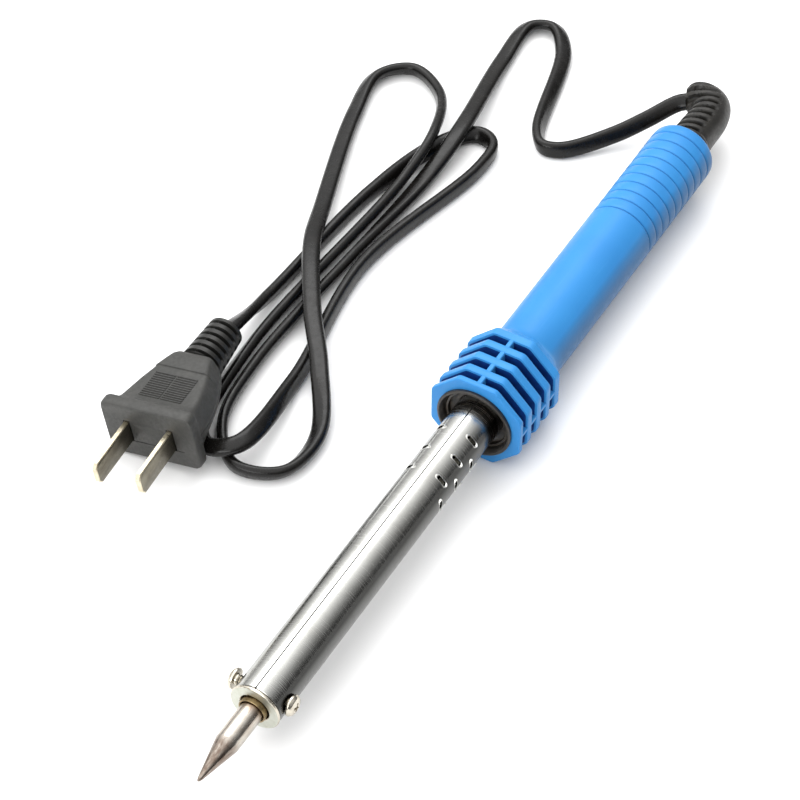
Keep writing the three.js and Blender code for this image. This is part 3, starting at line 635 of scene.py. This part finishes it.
def plate_rings(rear, front, bore=CORE_R):
    """A closed loop of rings round one guard plate with softened edges."""
    soft = PLATE_BEVEL * 0.3
    return [
        circle_ring(rear, bore),
        octagon_ring(rear, SLOT_SHADE),
        octagon_ring(rear, GUARD_APOTHEM - PLATE_BEVEL),
        octagon_ring(rear + soft, GUARD_APOTHEM - soft),
        octagon_ring(rear + PLATE_BEVEL, GUARD_APOTHEM),
        octagon_ring(front - PLATE_BEVEL, GUARD_APOTHEM),
        octagon_ring(front - soft, GUARD_APOTHEM - soft),
        octagon_ring(front, GUARD_APOTHEM - PLATE_BEVEL),
        octagon_ring(front, SLOT_SHADE),
        circle_ring(front, bore),
    ]


def block(low, high, degrees, bevel):
    """A box turned about the iron's axis, with its outer long edges bevelled."""
    (x0, y0, z0), (x1, y1, z1) = low, high
    section = [(y0, z0), (y1, z0), (y1, z1 - bevel), (y1 - bevel, z1), (y0 + bevel, z1), (y0, z1 - bevel)]
    c, s = math.cos(math.radians(degrees)), math.sin(math.radians(degrees))
    return loft([[(x, y * c + z * s, AXIS_Z - y * s + z * c) for y, z in section] for x in (x0, x1)])


def make_handle(made):
    back = grip_rings()
    back += [
        octagon_ring(GUARD_REAR - PLATE_BEVEL, GUARD_APOTHEM),
        octagon_ring(GUARD_REAR - 0.08, GUARD_APOTHEM - 0.08),
        octagon_ring(GUARD_REAR, GUARD_APOTHEM - PLATE_BEVEL),
        octagon_ring(GUARD_REAR, SLOT_SHADE),
        circle_ring(GUARD_REAR, CORE_R),
    ]
    parts = [loft(back, caps=False)]
    for rear, front in PLATES:
        bore = BUSH_SEAT_R if front == GUARD_FRONT else CORE_R
        parts.append(loft(plate_rings(rear, front, bore), closed=True))
    # The core between the plates takes the darker blue: painted shade at the bottom of the slots
    rear = GUARD_REAR - 1
    core = [(rear, CORE_R), (CORE_FRONT, CORE_R), (CORE_FRONT, CORE_BORE_R), (rear, CORE_BORE_R)]
    parts.append(loft([circle_ring(x, r) for x, r in core], closed=True, index=1))
    half = RIB_WIDTH / 2
    low, high = (GUARD_REAR - 0.3, -half, CORE_R - 0.5), (RIB_FRONT, half, GUARD_APOTHEM - 0.12)
    for degrees in (0, 90, 180, 270):
        parts.append(block(low, high, degrees, bevel=0.2))
    handle = add_mesh("handle_shell_visual", parts, [made["blue_plastic"], made["blue_plastic_painted_shade"]], 28)
    # Painted shade: faces in the grip's grooves and deep on the slots' walls take the darker blue
    for face in handle.data.polygons:
        x, y, z = face.center / MM
        in_groove = min(abs(x - groove) for groove in GROOVES) < 0.05
        across_slot = abs(face.normal.x) > 0.9 and GUARD_REAR - 0.1 < x < RIB_FRONT
        in_slot = across_slot and math.hypot(y, z - AXIS_Z) < SLOT_FACE_R
        if in_groove or in_slot:
            face.material_index = 1
    finish_piece(handle, "iron", "blue_plastic", "handle_shell")


def make_bush(made):
    corners = [
        (-2, 6.85, 0), (-2, 8.5, 0.2), (9.25, 8.5, 0), (9.25, 9.6, 0), (10.2, 9.6, 0),
        (10.2, 10.6, 0.2), (11.25, 10.7, 0.35), (11.35, 9.95, 0.35), (10.2, 9.2, 1.2),
        (7.8, 8.6, 1.2), (7.4, 7.4, 0.6), (7.4, 6.65, 0), (-2, 6.65, 0),
    ]
    bush = add_mesh("front_bush_visual", [turned(corners, 128)], [made["black_phenolic"]])
    finish_piece(bush, "iron", "black_plastic", "front_bush")


# Barrel, collar, bit and screws

TUBE_R, TUBE_BORE_R = 6.55, 6.05
TUBE_REAR, TUBE_FRONT = -7.0, 114.0
SCREW_X, SCREW_HOLE_R = 109.95, 1.8
RIGHT_SCREW_OUT = 1.2  # the right screw's head stands this much further out
CUT_THROUGH = (4.5, 8.0)  # distances from the axis between which a cutter passes through the tube's wall
VENT_HALF_LENGTH, VENT_HALF_WIDTH = 1.75, 0.6
VENTS = [(x, a) for a in (45, 135, 225, 315) for x in (20.2, 27.9, 35.6)]
VENTS += [(x, a) for a in (90, 180, 270) for x in (23.9, 31.6, 39.3)]


def on_tube(x, across, degrees, r):
    """A point on a cylinder about the axis: across is the distance round it from the given angle."""
    angle = math.radians(degrees) + across / TUBE_R
    return (x, r * math.sin(angle), AXIS_Z + r * math.cos(angle))


def stadium(half_length, half_width, count=24):
    """Points round a slot: (along, across) pairs, long in across."""
    line = []
    for i in range(count):
        angle = TAU * i / count
        along, across = half_width * math.cos(angle), half_width * math.sin(angle)
        line.append((along, across + math.copysign(half_length - half_width, across)))
    return line


def vent_cutter(x, degrees):
    outline = stadium(VENT_HALF_LENGTH, VENT_HALF_WIDTH)
    return make_cutter([[on_tube(x + a, c, degrees, r) for a, c in outline] for r in CUT_THROUGH])


def vent_burr(x, degrees):
    """The raised lip that punching leaves round a slot, highest at its two ends."""
    rings = []
    path = stadium(VENT_HALF_LENGTH + 0.14, VENT_HALF_WIDTH + 0.12, 28)
    for a, c in path:
        length = math.hypot(a, c)
        at_end = abs(c / VENT_HALF_LENGTH) ** 3
        height, width = 0.03 + 0.30 * at_end, 0.09 + 0.15 * at_end
        ring = []
        for i in range(6):
            turn = TAU * i / 6
            out = width * math.cos(turn) / length
            ring.append(on_tube(x + a * (1 + out), c * (1 + out), degrees, TUBE_R + height * math.sin(turn)))
        rings.append(ring)
    return loft(rings, closed=True)


SEAM_EDGE = 0.024  # half the seam's width, in radians round the tube


def tube_ring(x, r, seam=True):
    """A ring of the rolled tube, with the open seam's narrow groove along its top."""
    edge, groove = SEAM_EDGE, 0.22
    angles = [0.0, edge * 0.88, edge, edge * 1.6]
    angles += list(np.linspace(0, TAU, 144, endpoint=False)[1:-1])
    angles += [TAU - edge * 1.6, TAU - edge, TAU - edge * 0.88]
    radii = [r - groove if seam and (a < edge * 0.9 or a > TAU - edge * 0.9) else r for a in angles]
    return [(x, q * math.sin(a), AXIS_Z + q * math.cos(a)) for q, a in zip(radii, angles)]


def make_tube(made):
    lip = 0.12
    stations = [(TUBE_REAR, TUBE_BORE_R, False), (TUBE_REAR, TUBE_R, True)]
    stations += [(x, TUBE_R, True) for x in (20, 60, 90, TUBE_FRONT - 0.8, TUBE_FRONT - lip)]
    stations += [(TUBE_FRONT, TUBE_R - lip, True), (TUBE_FRONT, TUBE_BORE_R, False)]
    skin = loft([tube_ring(*s) for s in stations], closed=True)
    tube = add_mesh("barrel_tube_visual", [skin], [made["chromed_steel"], made["seam_shadow"]])
    cutters = [vent_cutter(x, degrees) for x, degrees in VENTS]
    outline = [(SCREW_HOLE_R * math.cos(a), SCREW_HOLE_R * math.sin(a)) for a in np.linspace(0, TAU, 33)[:-1]]
    for side in (-1, 1):
        hole = [[(SCREW_X + a, side * y, AXIS_Z + b) for a, b in outline] for y in CUT_THROUGH]
        cutters.append(make_cutter(hole))
    notch = [(TUBE_FRONT - 0.9, 0), (TUBE_FRONT + 0.5, -0.5), (TUBE_FRONT + 0.5, 0.5)]
    cutters.append(make_cutter([[(x, y, z) for x, y in notch] for z in (18, 21)]))
    cut(tube, cutters)
    for face in tube.data.polygons:
        height = face.center.z / MM - AXIS_Z
        if abs(face.center.y) < SEAM_EDGE * TUBE_R * MM and TUBE_BORE_R + 0.1 < height < TUBE_R - 0.05:
            face.material_index = 1
    finish_piece(tube, "iron", "chromed_steel", "barrel_tube")
    burrs = add_mesh("vent_burrs", [vent_burr(x, degrees) for x, degrees in VENTS], [made["vent_burr"]])
    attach(burrs, "iron")


def make_collar(made):
    flange = [
        (104, 3.9, 0), (104, 5.75, 0.2), (114.25, 5.75, 0), (114.25, 6.5, 0.1), (114.35, 6.7, 0.1),
        (114.8, 6.72, 0.2), (115.0, 6.45, 0.15), (114.93, 6.1, 0.1), (115.0, 4.15, 0.12),
        (114.8, 3.9, 0.1), (104, 3.9, 0),
    ]
    finishes = [made["nickel_plate"], made["nickel_satin"]]
    collar = add_mesh("end_collar_visual", [turned(flange, 128)], finishes)
    for face in collar.data.polygons:
        if face.center.x > 114.9 * MM and face.normal.x > 0.9:
            face.material_index = 1
    finish_piece(collar, "iron", "nickel_plate", "end_collar")
    sleeve = [
        (48, 3.2, 0), (48, 3.6, 0), (115.9, 3.6, 0), (116.15, 3.62, 0.1), (116.25, 3.5, 0.1),
        (116.2, 3.25, 0.1), (115.8, 3.15, 0), (48, 3.2, 0),
    ]
    end = add_mesh("heater_sleeve_visual", [turned(sleeve, 96)], [made["sleeve_brass_painted_shade"]])
    finish_piece(end, "iron", "brass", "heater_sleeve")


def make_bit(made):
    corners = [
        (60, 0, 0), (60, 3.0, 0.4), (126.75, 3.0, 0.35), (137.9, 0.62, 1.0), (138.75, 0.3, 0.3),
        (138.8, 0, 0),
    ]
    bit = add_mesh("soldering_bit_visual", [turned(corners, 96, steps=8)], [made["bit_plate"]], 50)
    finish_piece(bit, "bit", "bit_plate", "soldering_bit")


THREAD_R, THREAD_ROOT_R, THREAD_HALF_PITCH = 1.5, 1.32, 0.25
RECESS_DEGREES = 28  # how far the screws' cross recesses stand from the iron's axis


def make_screw(made, side, body, node):
    """A domed pan-head screw with a cross recess. The right one's thread shows under its head."""
    out = 0.0 if side > 0 else RIGHT_SCREW_OUT
    corners = [(3.3, 0, 0), (3.3, 1.2, 0.1), (3.7, THREAD_R, 0)]
    for i, y in enumerate(np.arange(3.9, 6.7 + out, THREAD_HALF_PITCH)):
        corners.append((y, THREAD_R if i % 2 else THREAD_ROOT_R, 0))
    head = [
        (6.8, THREAD_R, 0), (6.85, 2.4, 0), (6.85, 2.72, 0.12), (7.35, 2.78, 0.3), (8.15, 2.25, 0.7),
        (8.5, 1.2, 0.8), (8.55, 0, 0),
    ]
    corners += [(y + out, r, rounding) for y, r, rounding in head]
    line = rounded(corners, 5)
    angles = np.linspace(0, TAU, 64, endpoint=False)
    rings = []
    for y, r in line:
        rings.append(np.stack([SCREW_X + r * np.cos(angles), np.full(64, y), AXIS_Z + r * np.sin(angles)], 1))
    screw = add_mesh(node + "_visual", [loft(rings, caps=False)], [made["nickel_plate"]], 40)
    cutters = []
    for quarter in (0, 1):
        turn = math.radians(RECESS_DEGREES) + quarter * TAU / 4
        along = np.array([math.cos(turn), math.sin(turn)])
        across = np.array([-along[1], along[0]])
        rings = []
        for y, reach, half in ((7.45, 0.35, 0.2), (9.0, 1.75, 0.42)):
            corners = [along * reach + across * half, -along * reach + across * half,
                       -along * reach - across * half, along * reach - across * half]
            rings.append([(SCREW_X + c[0], y + out, AXIS_Z + c[1]) for c in corners])
        cutters.append(make_cutter(rings))
    cut(screw, cutters, 40)
    if side < 0:
        screw.data.transform(Matrix.Diagonal((1, -1, 1, 1)))
        screw.data.flip_normals()
    finish_piece(screw, body, "nickel_plate", node)


# Cord boot

BOOT_CENTRE = [
    (-109.8, 0, 13.0), (-118, 0, 13.0), (-126.2, 0, 13.0),
    (-130.6, -1.6, 12.7), (-132.6, -5.3, 12.1), (-131.4, -9.1, 11.3),
]
BOOT_RIBS, BOOT_RIB_PITCH, BOOT_WINDOW_DEPTH = 9, 2.75, 1.5
BOOT_RIBS_FROM = Vector((-112.2, 0, AXIS_Z))
BOOT_RIBS_ALONG = Vector((-0.98, -0.20, 0))  # the ribs stay nearly parallel through the bend


def smooth_step(value, low, high):
    t = np.clip((value - low) / (high - low), 0, 1)
    return t * t * (3 - 2 * t)


def boot_radius(share):
    """Outer radius over the ribs, at a share of the boot's length."""
    r = np.interp(share, [0, 0.02, 0.09, 0.12, 0.6, 1.0], [6.3, 6.5, 6.45, 6.0, 5.6, 5.4])
    return r - (1.6 * ((share - 0.88) / 0.12) ** 2 if share > 0.88 else 0)


def boot_window(point, angle):
    """Depth of the window between two ribs at a point of the skin, from 0 to 1."""
    place = (Vector(point) - BOOT_RIBS_FROM).dot(BOOT_RIBS_ALONG) / BOOT_RIB_PITCH
    if not 0 < place < BOOT_RIBS:
        return 0.0
    off_spine = 1 - smooth_step(abs((angle + math.pi) % TAU - math.pi), math.radians(112), math.radians(120))
    return smooth_step(place % 1, 0.06, 0.22) * (1 - smooth_step(place % 1, 0.48, 0.64)) * off_spine


def make_boot(made):
    line = catmull_rom(BOOT_CENTRE, 40)[:, :3]
    lengths = np.concatenate([[0], np.cumsum(np.linalg.norm(np.diff(line, axis=0), axis=1))])
    shares = lengths / lengths[-1]
    heading, left, up = frames_along(line)
    angles = np.linspace(0, TAU, 72, endpoint=False)
    rings = []
    for i, share in enumerate(shares):
        out = np.cos(angles)[:, None] * left[i] + np.sin(angles)[:, None] * up[i]
        skin = line[i] + boot_radius(share) * out
        depth = [BOOT_WINDOW_DEPTH * boot_window(point, a) for point, a in zip(skin, angles)]
        rings.append(skin - np.array(depth)[:, None] * out)
    end = line[-1] + heading[-1] * 0.15
    rings.append(np.stack([end + 2.9 * (math.cos(a) * left[-1] + math.sin(a) * up[-1]) for a in angles]))
    boot = add_mesh("cable_boot_visual", [loft(rings)], [made["boot_rubber"]], 50)
    finish_piece(boot, "iron", "boot_rubber", "cable_boot")


# Flat cord

CORD_WIDTH, CORD_THICK = 5.0, 3.1
# x, y, z and the lean of the cord's wide side from level, in degrees, from boot to plug
CORD_ROUTE = [
    (-131.7, -8.1, 11.5, -40), (-130.1, -11.6, 10.3, -43), (-122.6, -17.8, 7.0, -50),
    (-115.2, -24.1, 4.2, -58), (-103.4, -34.6, 2.65, -75),
    (-101.9, -40.2, 2.6, -95), (-106.8, -44.3, 2.6, -115), (-143, -55.2, 2.2, -160),
    (-151.3, -62.8, 2.5, -135), (-148.4, -69.4, 2.5, -140), (-130, -68.8, 2.2, -178),
    (-91, -61.9, 6.3, -180), (-71, -62.4, 2.8, -170), (-36, -64.1, 2.55, -115),
    (14, -65.1, 2.55, -115), (35.5, -60.7, 2.6, -95), (46.2, -49.8, 2.6, -75),
    (41.8, -38.4, 2.6, -60), (27, -37, 2.8, -35), (8, -48, 6.0, -5),
    (-7.5, -59.6, 7.4, 0), (-30, -73.6, 7.5, 0), (-47, -80.6, 4.5, 0),
    (-88, -94.8, 2.1, -20), (-105.6, -97.4, 2.5, -50), (-113, -89.4, 2.6, -65),
    (-106, -76.6, 3.4, -90), (-86, -67.6, 7.1, -108), (-66, -67.2, 3.6, -115),
    (6, -69.7, 2.85, -118), (39.8, -64.9, 2.6, -150), (45.6, -58.2, 4.9, -165),
    (42.6, -50.8, 7.2, -165), (13, -52.6, 3.1, -105), (-34, -59.8, 2.75, -90),
    (-84, -51.4, 2.6, -90), (-95.2, -52.9, 2.6, -85), (-97.2, -58.8, 2.4, -50),
    (-90, -65.6, 2.15, -25), (-62, -72.6, 2.8, -88), (-8, -75.3, 3.6, -105),
    (12.6, -73.6, 10.6, -174),
]


def cord_section(count=20):
    """The flat cord's section: an oval with nearly flat sides and a faint waist between its two cores."""
    points = []
    for i in range(count):
        angle = TAU * (i + 0.5) / count
        c, s = math.cos(angle), math.sin(angle)
        across = CORD_WIDTH / 2 * math.copysign(abs(c) ** 0.72, c)
        thick = CORD_THICK / 2 * math.copysign(abs(s) ** 0.80, s)
        waist = 1 - 0.05 * math.exp(-((across / 0.7) ** 2))
        points.append((across, thick * waist))
    return points


def make_cord(made):
    line = catmull_rom(CORD_ROUTE, 12)
    heading, left, up = frames_along(line)
    section = cord_section()
    rings = []
    for i, lean in enumerate(np.radians(line[:, 3])):
        wide = left[i] * math.cos(lean) + up[i] * math.sin(lean)
        thick = np.cross(heading[i], wide)
        rings.append([line[i, :3] + wide * a + thick * b for a, b in section])
    cord = add_mesh("mains_cord_visual", [loft(rings)], [made["cord_pvc"]], 60)
    finish_piece(cord, "iron", "cord_pvc", "mains_cord")


# Plug, in its own frame: +X out of the face along the blades

PLUG_PLACE = (
    Matrix.Translation(Vector((54.5, -69.9, 10.8)) * MM)
    @ Matrix.Rotation(math.radians(5.0), 4, "Z")
    @ Matrix.Rotation(math.radians(9.3), 4, "X")
)
BLADE_SPACING = 12.7
GRIP_RIDGES, GRIP_PITCH, GRIP_START = 12, 0.83, -7.6


def rounded_polygon(corners, radius, steps=5):
    """Points round a closed polygon with rounded corners, the same number at each corner."""
    count = len(corners)
    points = []
    for i in range(count):
        here = np.array(corners[i], float)
        before = np.array(corners[i - 1], float) - here
        after = np.array(corners[(i + 1) % count], float) - here
        reach_before = min(radius, 0.49 * np.linalg.norm(before))
        reach_after = min(radius, 0.49 * np.linalg.norm(after))
        start = here + before / np.linalg.norm(before) * reach_before
        end = here + after / np.linalg.norm(after) * reach_after
        for t in np.linspace(0, 1, steps):
            points.append((1 - t) ** 2 * start + 2 * t * (1 - t) * here + t * t * end)
    return points


def plug_ring(x, top_half, side_half, half_height, ridge, radius, groove=0.0):
    """A section with a flat top and bottom and ridged sides, split by the mould's parting groove."""
    right = [(top_half, half_height), (side_half, ridge), (side_half, 0.18), (side_half - groove, 0.0)]
    right += [(side_half, -0.18), (side_half, -ridge), (top_half, -half_height)]
    corners = right + [(-y, z) for y, z in reversed(right)]
    return [(x, y, z) for y, z in rounded_polygon(corners, radius)]


def place_on_plug(obj):
    obj.matrix_world = PLUG_PLACE
    bpy.context.view_layer.update()
    return obj


def straight_cutter(outline, start, end):
    """A cutter of one (y, z) outline from start to end in x."""
    return make_cutter([[(x, y, z) for y, z in outline] for x in (start, end)])


def make_plug_body(made):
    flange = [
        (0.0, 12.9, 13.0, 8.3, 3.4, 2.1), (-0.2, 13.2, 13.3, 8.6, 3.4, 2.2),
        (-0.7, 13.4, 13.5, 8.8, 3.4, 2.3), (-2.9, 13.4, 13.5, 8.8, 3.4, 2.3),
        (-3.4, 13.2, 13.3, 8.6, 3.4, 2.3), (-3.6, 12.8, 12.95, 8.2, 3.2, 2.2),
    ]
    body = [
        (-3.8, 12.0, 12.9, 7.7, 2.6, 2.0), (-4.6, 11.4, 12.9, 7.0, 2.0, 1.8),
        (-6.0, 10.9, 12.9, 6.4, 1.4, 1.5), (-8.0, 10.5, 12.8, 6.05, 1.2, 1.3),
        (-11, 9.9, 12.4, 5.85, 1.1, 1.2), (-14.5, 9.1, 11.6, 5.75, 1.1, 1.2),
        (-17.5, 8.2, 10.6, 5.7, 1.1, 1.2), (-19.3, 7.7, 9.9, 5.7, 1.1, 1.2),
        (-19.5, 7.7, 9.85, 6.05, 1.1, 1.2), (-22.5, 6.6, 8.6, 6.05, 1.1, 1.3),
        (-24.8, 5.8, 7.4, 5.95, 1.2, 1.5), (-25.9, 5.3, 6.8, 5.5, 1.2, 1.6),
        (-26.3, 4.5, 6.0, 4.7, 1.2, 1.5),
    ]
    rings = [plug_ring(*section) for section in flange]
    rings += [plug_ring(*section, groove=0.35) for section in body]
    plug = add_mesh("plug_body_visual", [loft(rings)], [made["plug_pvc"]], 30)
    sockets = []
    for side in (-1, 1):
        y = side * BLADE_SPACING / 2
        outline = [(y - 0.95, -3.5), (y + 0.95, -3.5), (y + 0.95, 3.5), (y - 0.95, 3.5)]
        sockets.append(straight_cutter(outline, -1.0, 1.0))
    parting_line = [(-9.5, -3.45), (9.5, -3.45), (9.5, -3.2), (-9.5, -3.2)]
    sockets.append(straight_cutter(parting_line, -0.5, 1.0))
    cut(plug, sockets, 30)
    return finish_piece(place_on_plug(plug), "iron", "plug_pvc", "plug_body")


def grip_top(x):
    """Height of the body's flat top, and of the matching bottom, along the grip."""
    return float(np.interp(x, [-17.5, -14.5, -11, -8, -6], [5.7, 5.75, 5.85, 6.05, 6.4]))


def make_plug_grip(made):
    """Two fields of rounded finger ridges on the top and two on the bottom, each on a pad painted darker as
    painted shade between the ridges.
    """
    parts = []
    for side in (1, -1):
        for low, high in ((-6.3, -0.14), (0.14, 6.3)):
            pad = []
            for x in np.linspace(-7.5, -16.9, 8):
                top = side * (grip_top(x) + 0.03)
                root = top - 0.3 * side
                pad.append([(x, low, root), (x, high, root), (x, high, top), (x, low, top)])
            # The pads take the darker relief material: painted shade between the ridges
            parts.append(loft(pad, index=1))
            for i in range(GRIP_RIDGES):
                x = GRIP_START - GRIP_PITCH * i
                ridge = []
                for share, size in ((0, 0.3), (0.015, 0.8), (0.04, 1.0), (0.96, 1.0), (0.985, 0.8), (1, 0.3)):
                    y = low + (high - low) * share
                    ridge.append([
                        (x + 0.20 * size * math.cos(a), y, side * (grip_top(x) + 0.32 * size * math.sin(a)))
                        for a in np.linspace(0, TAU, 13)[:-1]
                    ])
                parts.append(loft(ridge))
    grip = place_on_plug(add_mesh("plug_grip_ridges", parts, [made["plug_pvc"], made["relief_pvc"]], 50))
    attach(grip, "iron")
    return grip


def make_plug_bridge(made):
    """The moulded insert between the blades, set a little proud of the face."""
    outline = rounded_polygon([(-4.6, -3.05), (4.6, -3.05), (4.6, 3.0), (-4.6, 3.0)], 0.5)
    inset = rounded_polygon([(-4.45, -2.9), (4.45, -2.9), (4.45, 2.85), (-4.45, 2.85)], 0.5)
    rings = [[(x, y, z) for y, z in shape] for x, shape in ((-3.8, outline), (-0.08, outline), (0.03, inset))]
    bridge = add_mesh("plug_bridge_visual", [loft(rings)], [made["plug_pvc"]])
    return finish_piece(place_on_plug(bridge), "iron", "plug_pvc", "plug_bridge")


def make_blade(made, side, node):
    """A flat blade with a chamfered end and softened edges. Its flats are painted darker than its edges:
    painted reflection on the flats, painted highlight on the edges.
    """
    half, thick, length, slant = 3.25, 0.75, 17.0, 1.2
    outline = [
        (-5, -half), (length - slant, -half), (length, -half + slant), (length, half - slant),
        (length - slant, half), (-5, half),
    ]
    inner = [
        (-5, -half + 0.2), (length - slant - 0.08, -half + 0.2), (length - 0.2, -half + slant + 0.08),
        (length - 0.2, half - slant - 0.08), (length - slant - 0.08, half - 0.2), (-5, half - 0.2),
    ]
    flat = [(a - math.copysign(0.1, a) if a > 0 else a, b * 0.97) for a, b in inner]
    y = side * BLADE_SPACING / 2
    layers = [(-thick, flat), (-thick + 0.06, inner), (-thick + 0.2, outline)]
    layers += [(thick - 0.2, outline), (thick - 0.06, inner), (thick, flat)]
    rings = [[(a, y + depth, b) for a, b in shape] for depth, shape in layers]
    blade = add_mesh(node + "_visual", [loft(rings)], [made["blade_edge_painted_highlight"], made["blade_flat_painted_reflection"]], 30)
    # Painted reflection: the broad flats take the darker copy
    for face in blade.data.polygons:
        if abs(face.normal.y) > 0.95:
            face.material_index = 1
    return finish_piece(place_on_plug(blade), "iron", "nickel_plate", node)


RELIEF_START, RELIEF_END = -26.6, -41.5
RELIEF_RIBS, RELIEF_R, RELIEF_TAPER, RELIEF_GAP = 6, 5.8, 1.0, 1.3


def relief_radius(x, angle):
    """Six thick ribs with gaps between them, bridged along the top, the bottom and both sides."""
    share = (RELIEF_START - x) / (RELIEF_START - RELIEF_END)
    place = share * RELIEF_RIBS
    within = place % 1
    gap = smooth_step(within, 0.0, 0.10) * (1 - smooth_step(within, 0.36, 0.46))
    on_side, on_top = abs(math.cos(angle)), abs(math.sin(angle))
    bridge = max(smooth_step(on_side, 0.97, 0.995), smooth_step(on_top, 0.995, 0.999))
    if place > 5.6:
        gap = 0
    return RELIEF_R - RELIEF_TAPER * share - RELIEF_GAP * gap * (1 - bridge)


def make_plug_relief(made):
    angles = np.linspace(0, TAU, 72, endpoint=False)
    rings = [[(RELIEF_START + 0.8, 4.6 * math.cos(a), 4.4 * math.sin(a)) for a in angles]]
    for x in np.linspace(RELIEF_START, RELIEF_END + 0.3, 130):
        skin = [(relief_radius(x, a), a) for a in angles]
        rings.append([(x, r * math.cos(a), r * math.sin(a)) for r, a in skin])
    rings.append([(RELIEF_END, 4.3 * math.cos(a), 4.3 * math.sin(a)) for a in angles])
    rings.append([(RELIEF_END + 0.8, 3.0 * math.cos(a), 3.0 * math.sin(a)) for a in angles])
    relief = add_mesh("plug_relief_visual", [loft(rings)], [made["relief_pvc"]], 50)
    return finish_piece(place_on_plug(relief), "iron", "plug_pvc", "plug_relief")


def finish_hidden_nodes(made):
    """The pieces inside the iron keep their CAD shape and get a finish of their own."""
    finishes = {
        "tube_ring": "plain_steel",
        "mica_inner": "mica",
        "heater_winding": "resistance_wire",
        "mica_outer": "mica",
        "heater_case": "plain_steel",
        "rear_insulator": "ceramic",
        "heater_lead_left": "lead_sleeving",
        "heater_lead_right": "lead_sleeving",
        "terminal_left": "brass",
        "terminal_right": "brass",
        "cord_core_left": "cord_pvc",
        "cord_core_right": "cord_pvc",
        "cord_clip": "black_phenolic",
        "cord_tail": "cord_pvc",
    }
    for node, finish in finishes.items():
        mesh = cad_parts[node].data
        mesh.materials.clear()
        mesh.materials.append(made[finish])


materials = make_materials()
add_camera()
add_world()
add_floor(materials["studio_floor"])
add_light("overhead", (-0.45, -0.38, 0.85), (0, -0.03, 0), (0.8, 0.5), 4)
add_light("front", (1.0, -0.1, 0.45), (0.05, -0.07, 0), (0.8, 0.5), 5.5)
plug_pieces = [
    make_plug_body(materials),
    make_plug_grip(materials),
    make_plug_bridge(materials),
    make_blade(materials, 1, "plug_blade_left"),
    make_blade(materials, -1, "plug_blade_right"),
    make_plug_relief(materials),
]
make_cord(materials)
make_handle(materials)
make_bush(materials)
make_tube(materials)
make_collar(materials)
make_bit(materials)
make_screw(materials, 1, "left_screw", "bit_screw_left")
make_screw(materials, -1, "right_screw", "bit_screw_right")
make_boot(materials)
finish_hidden_nodes(materials)

bpy.context.scene.view_settings.view_transform = "Standard"
bpy.context.view_layer.update()
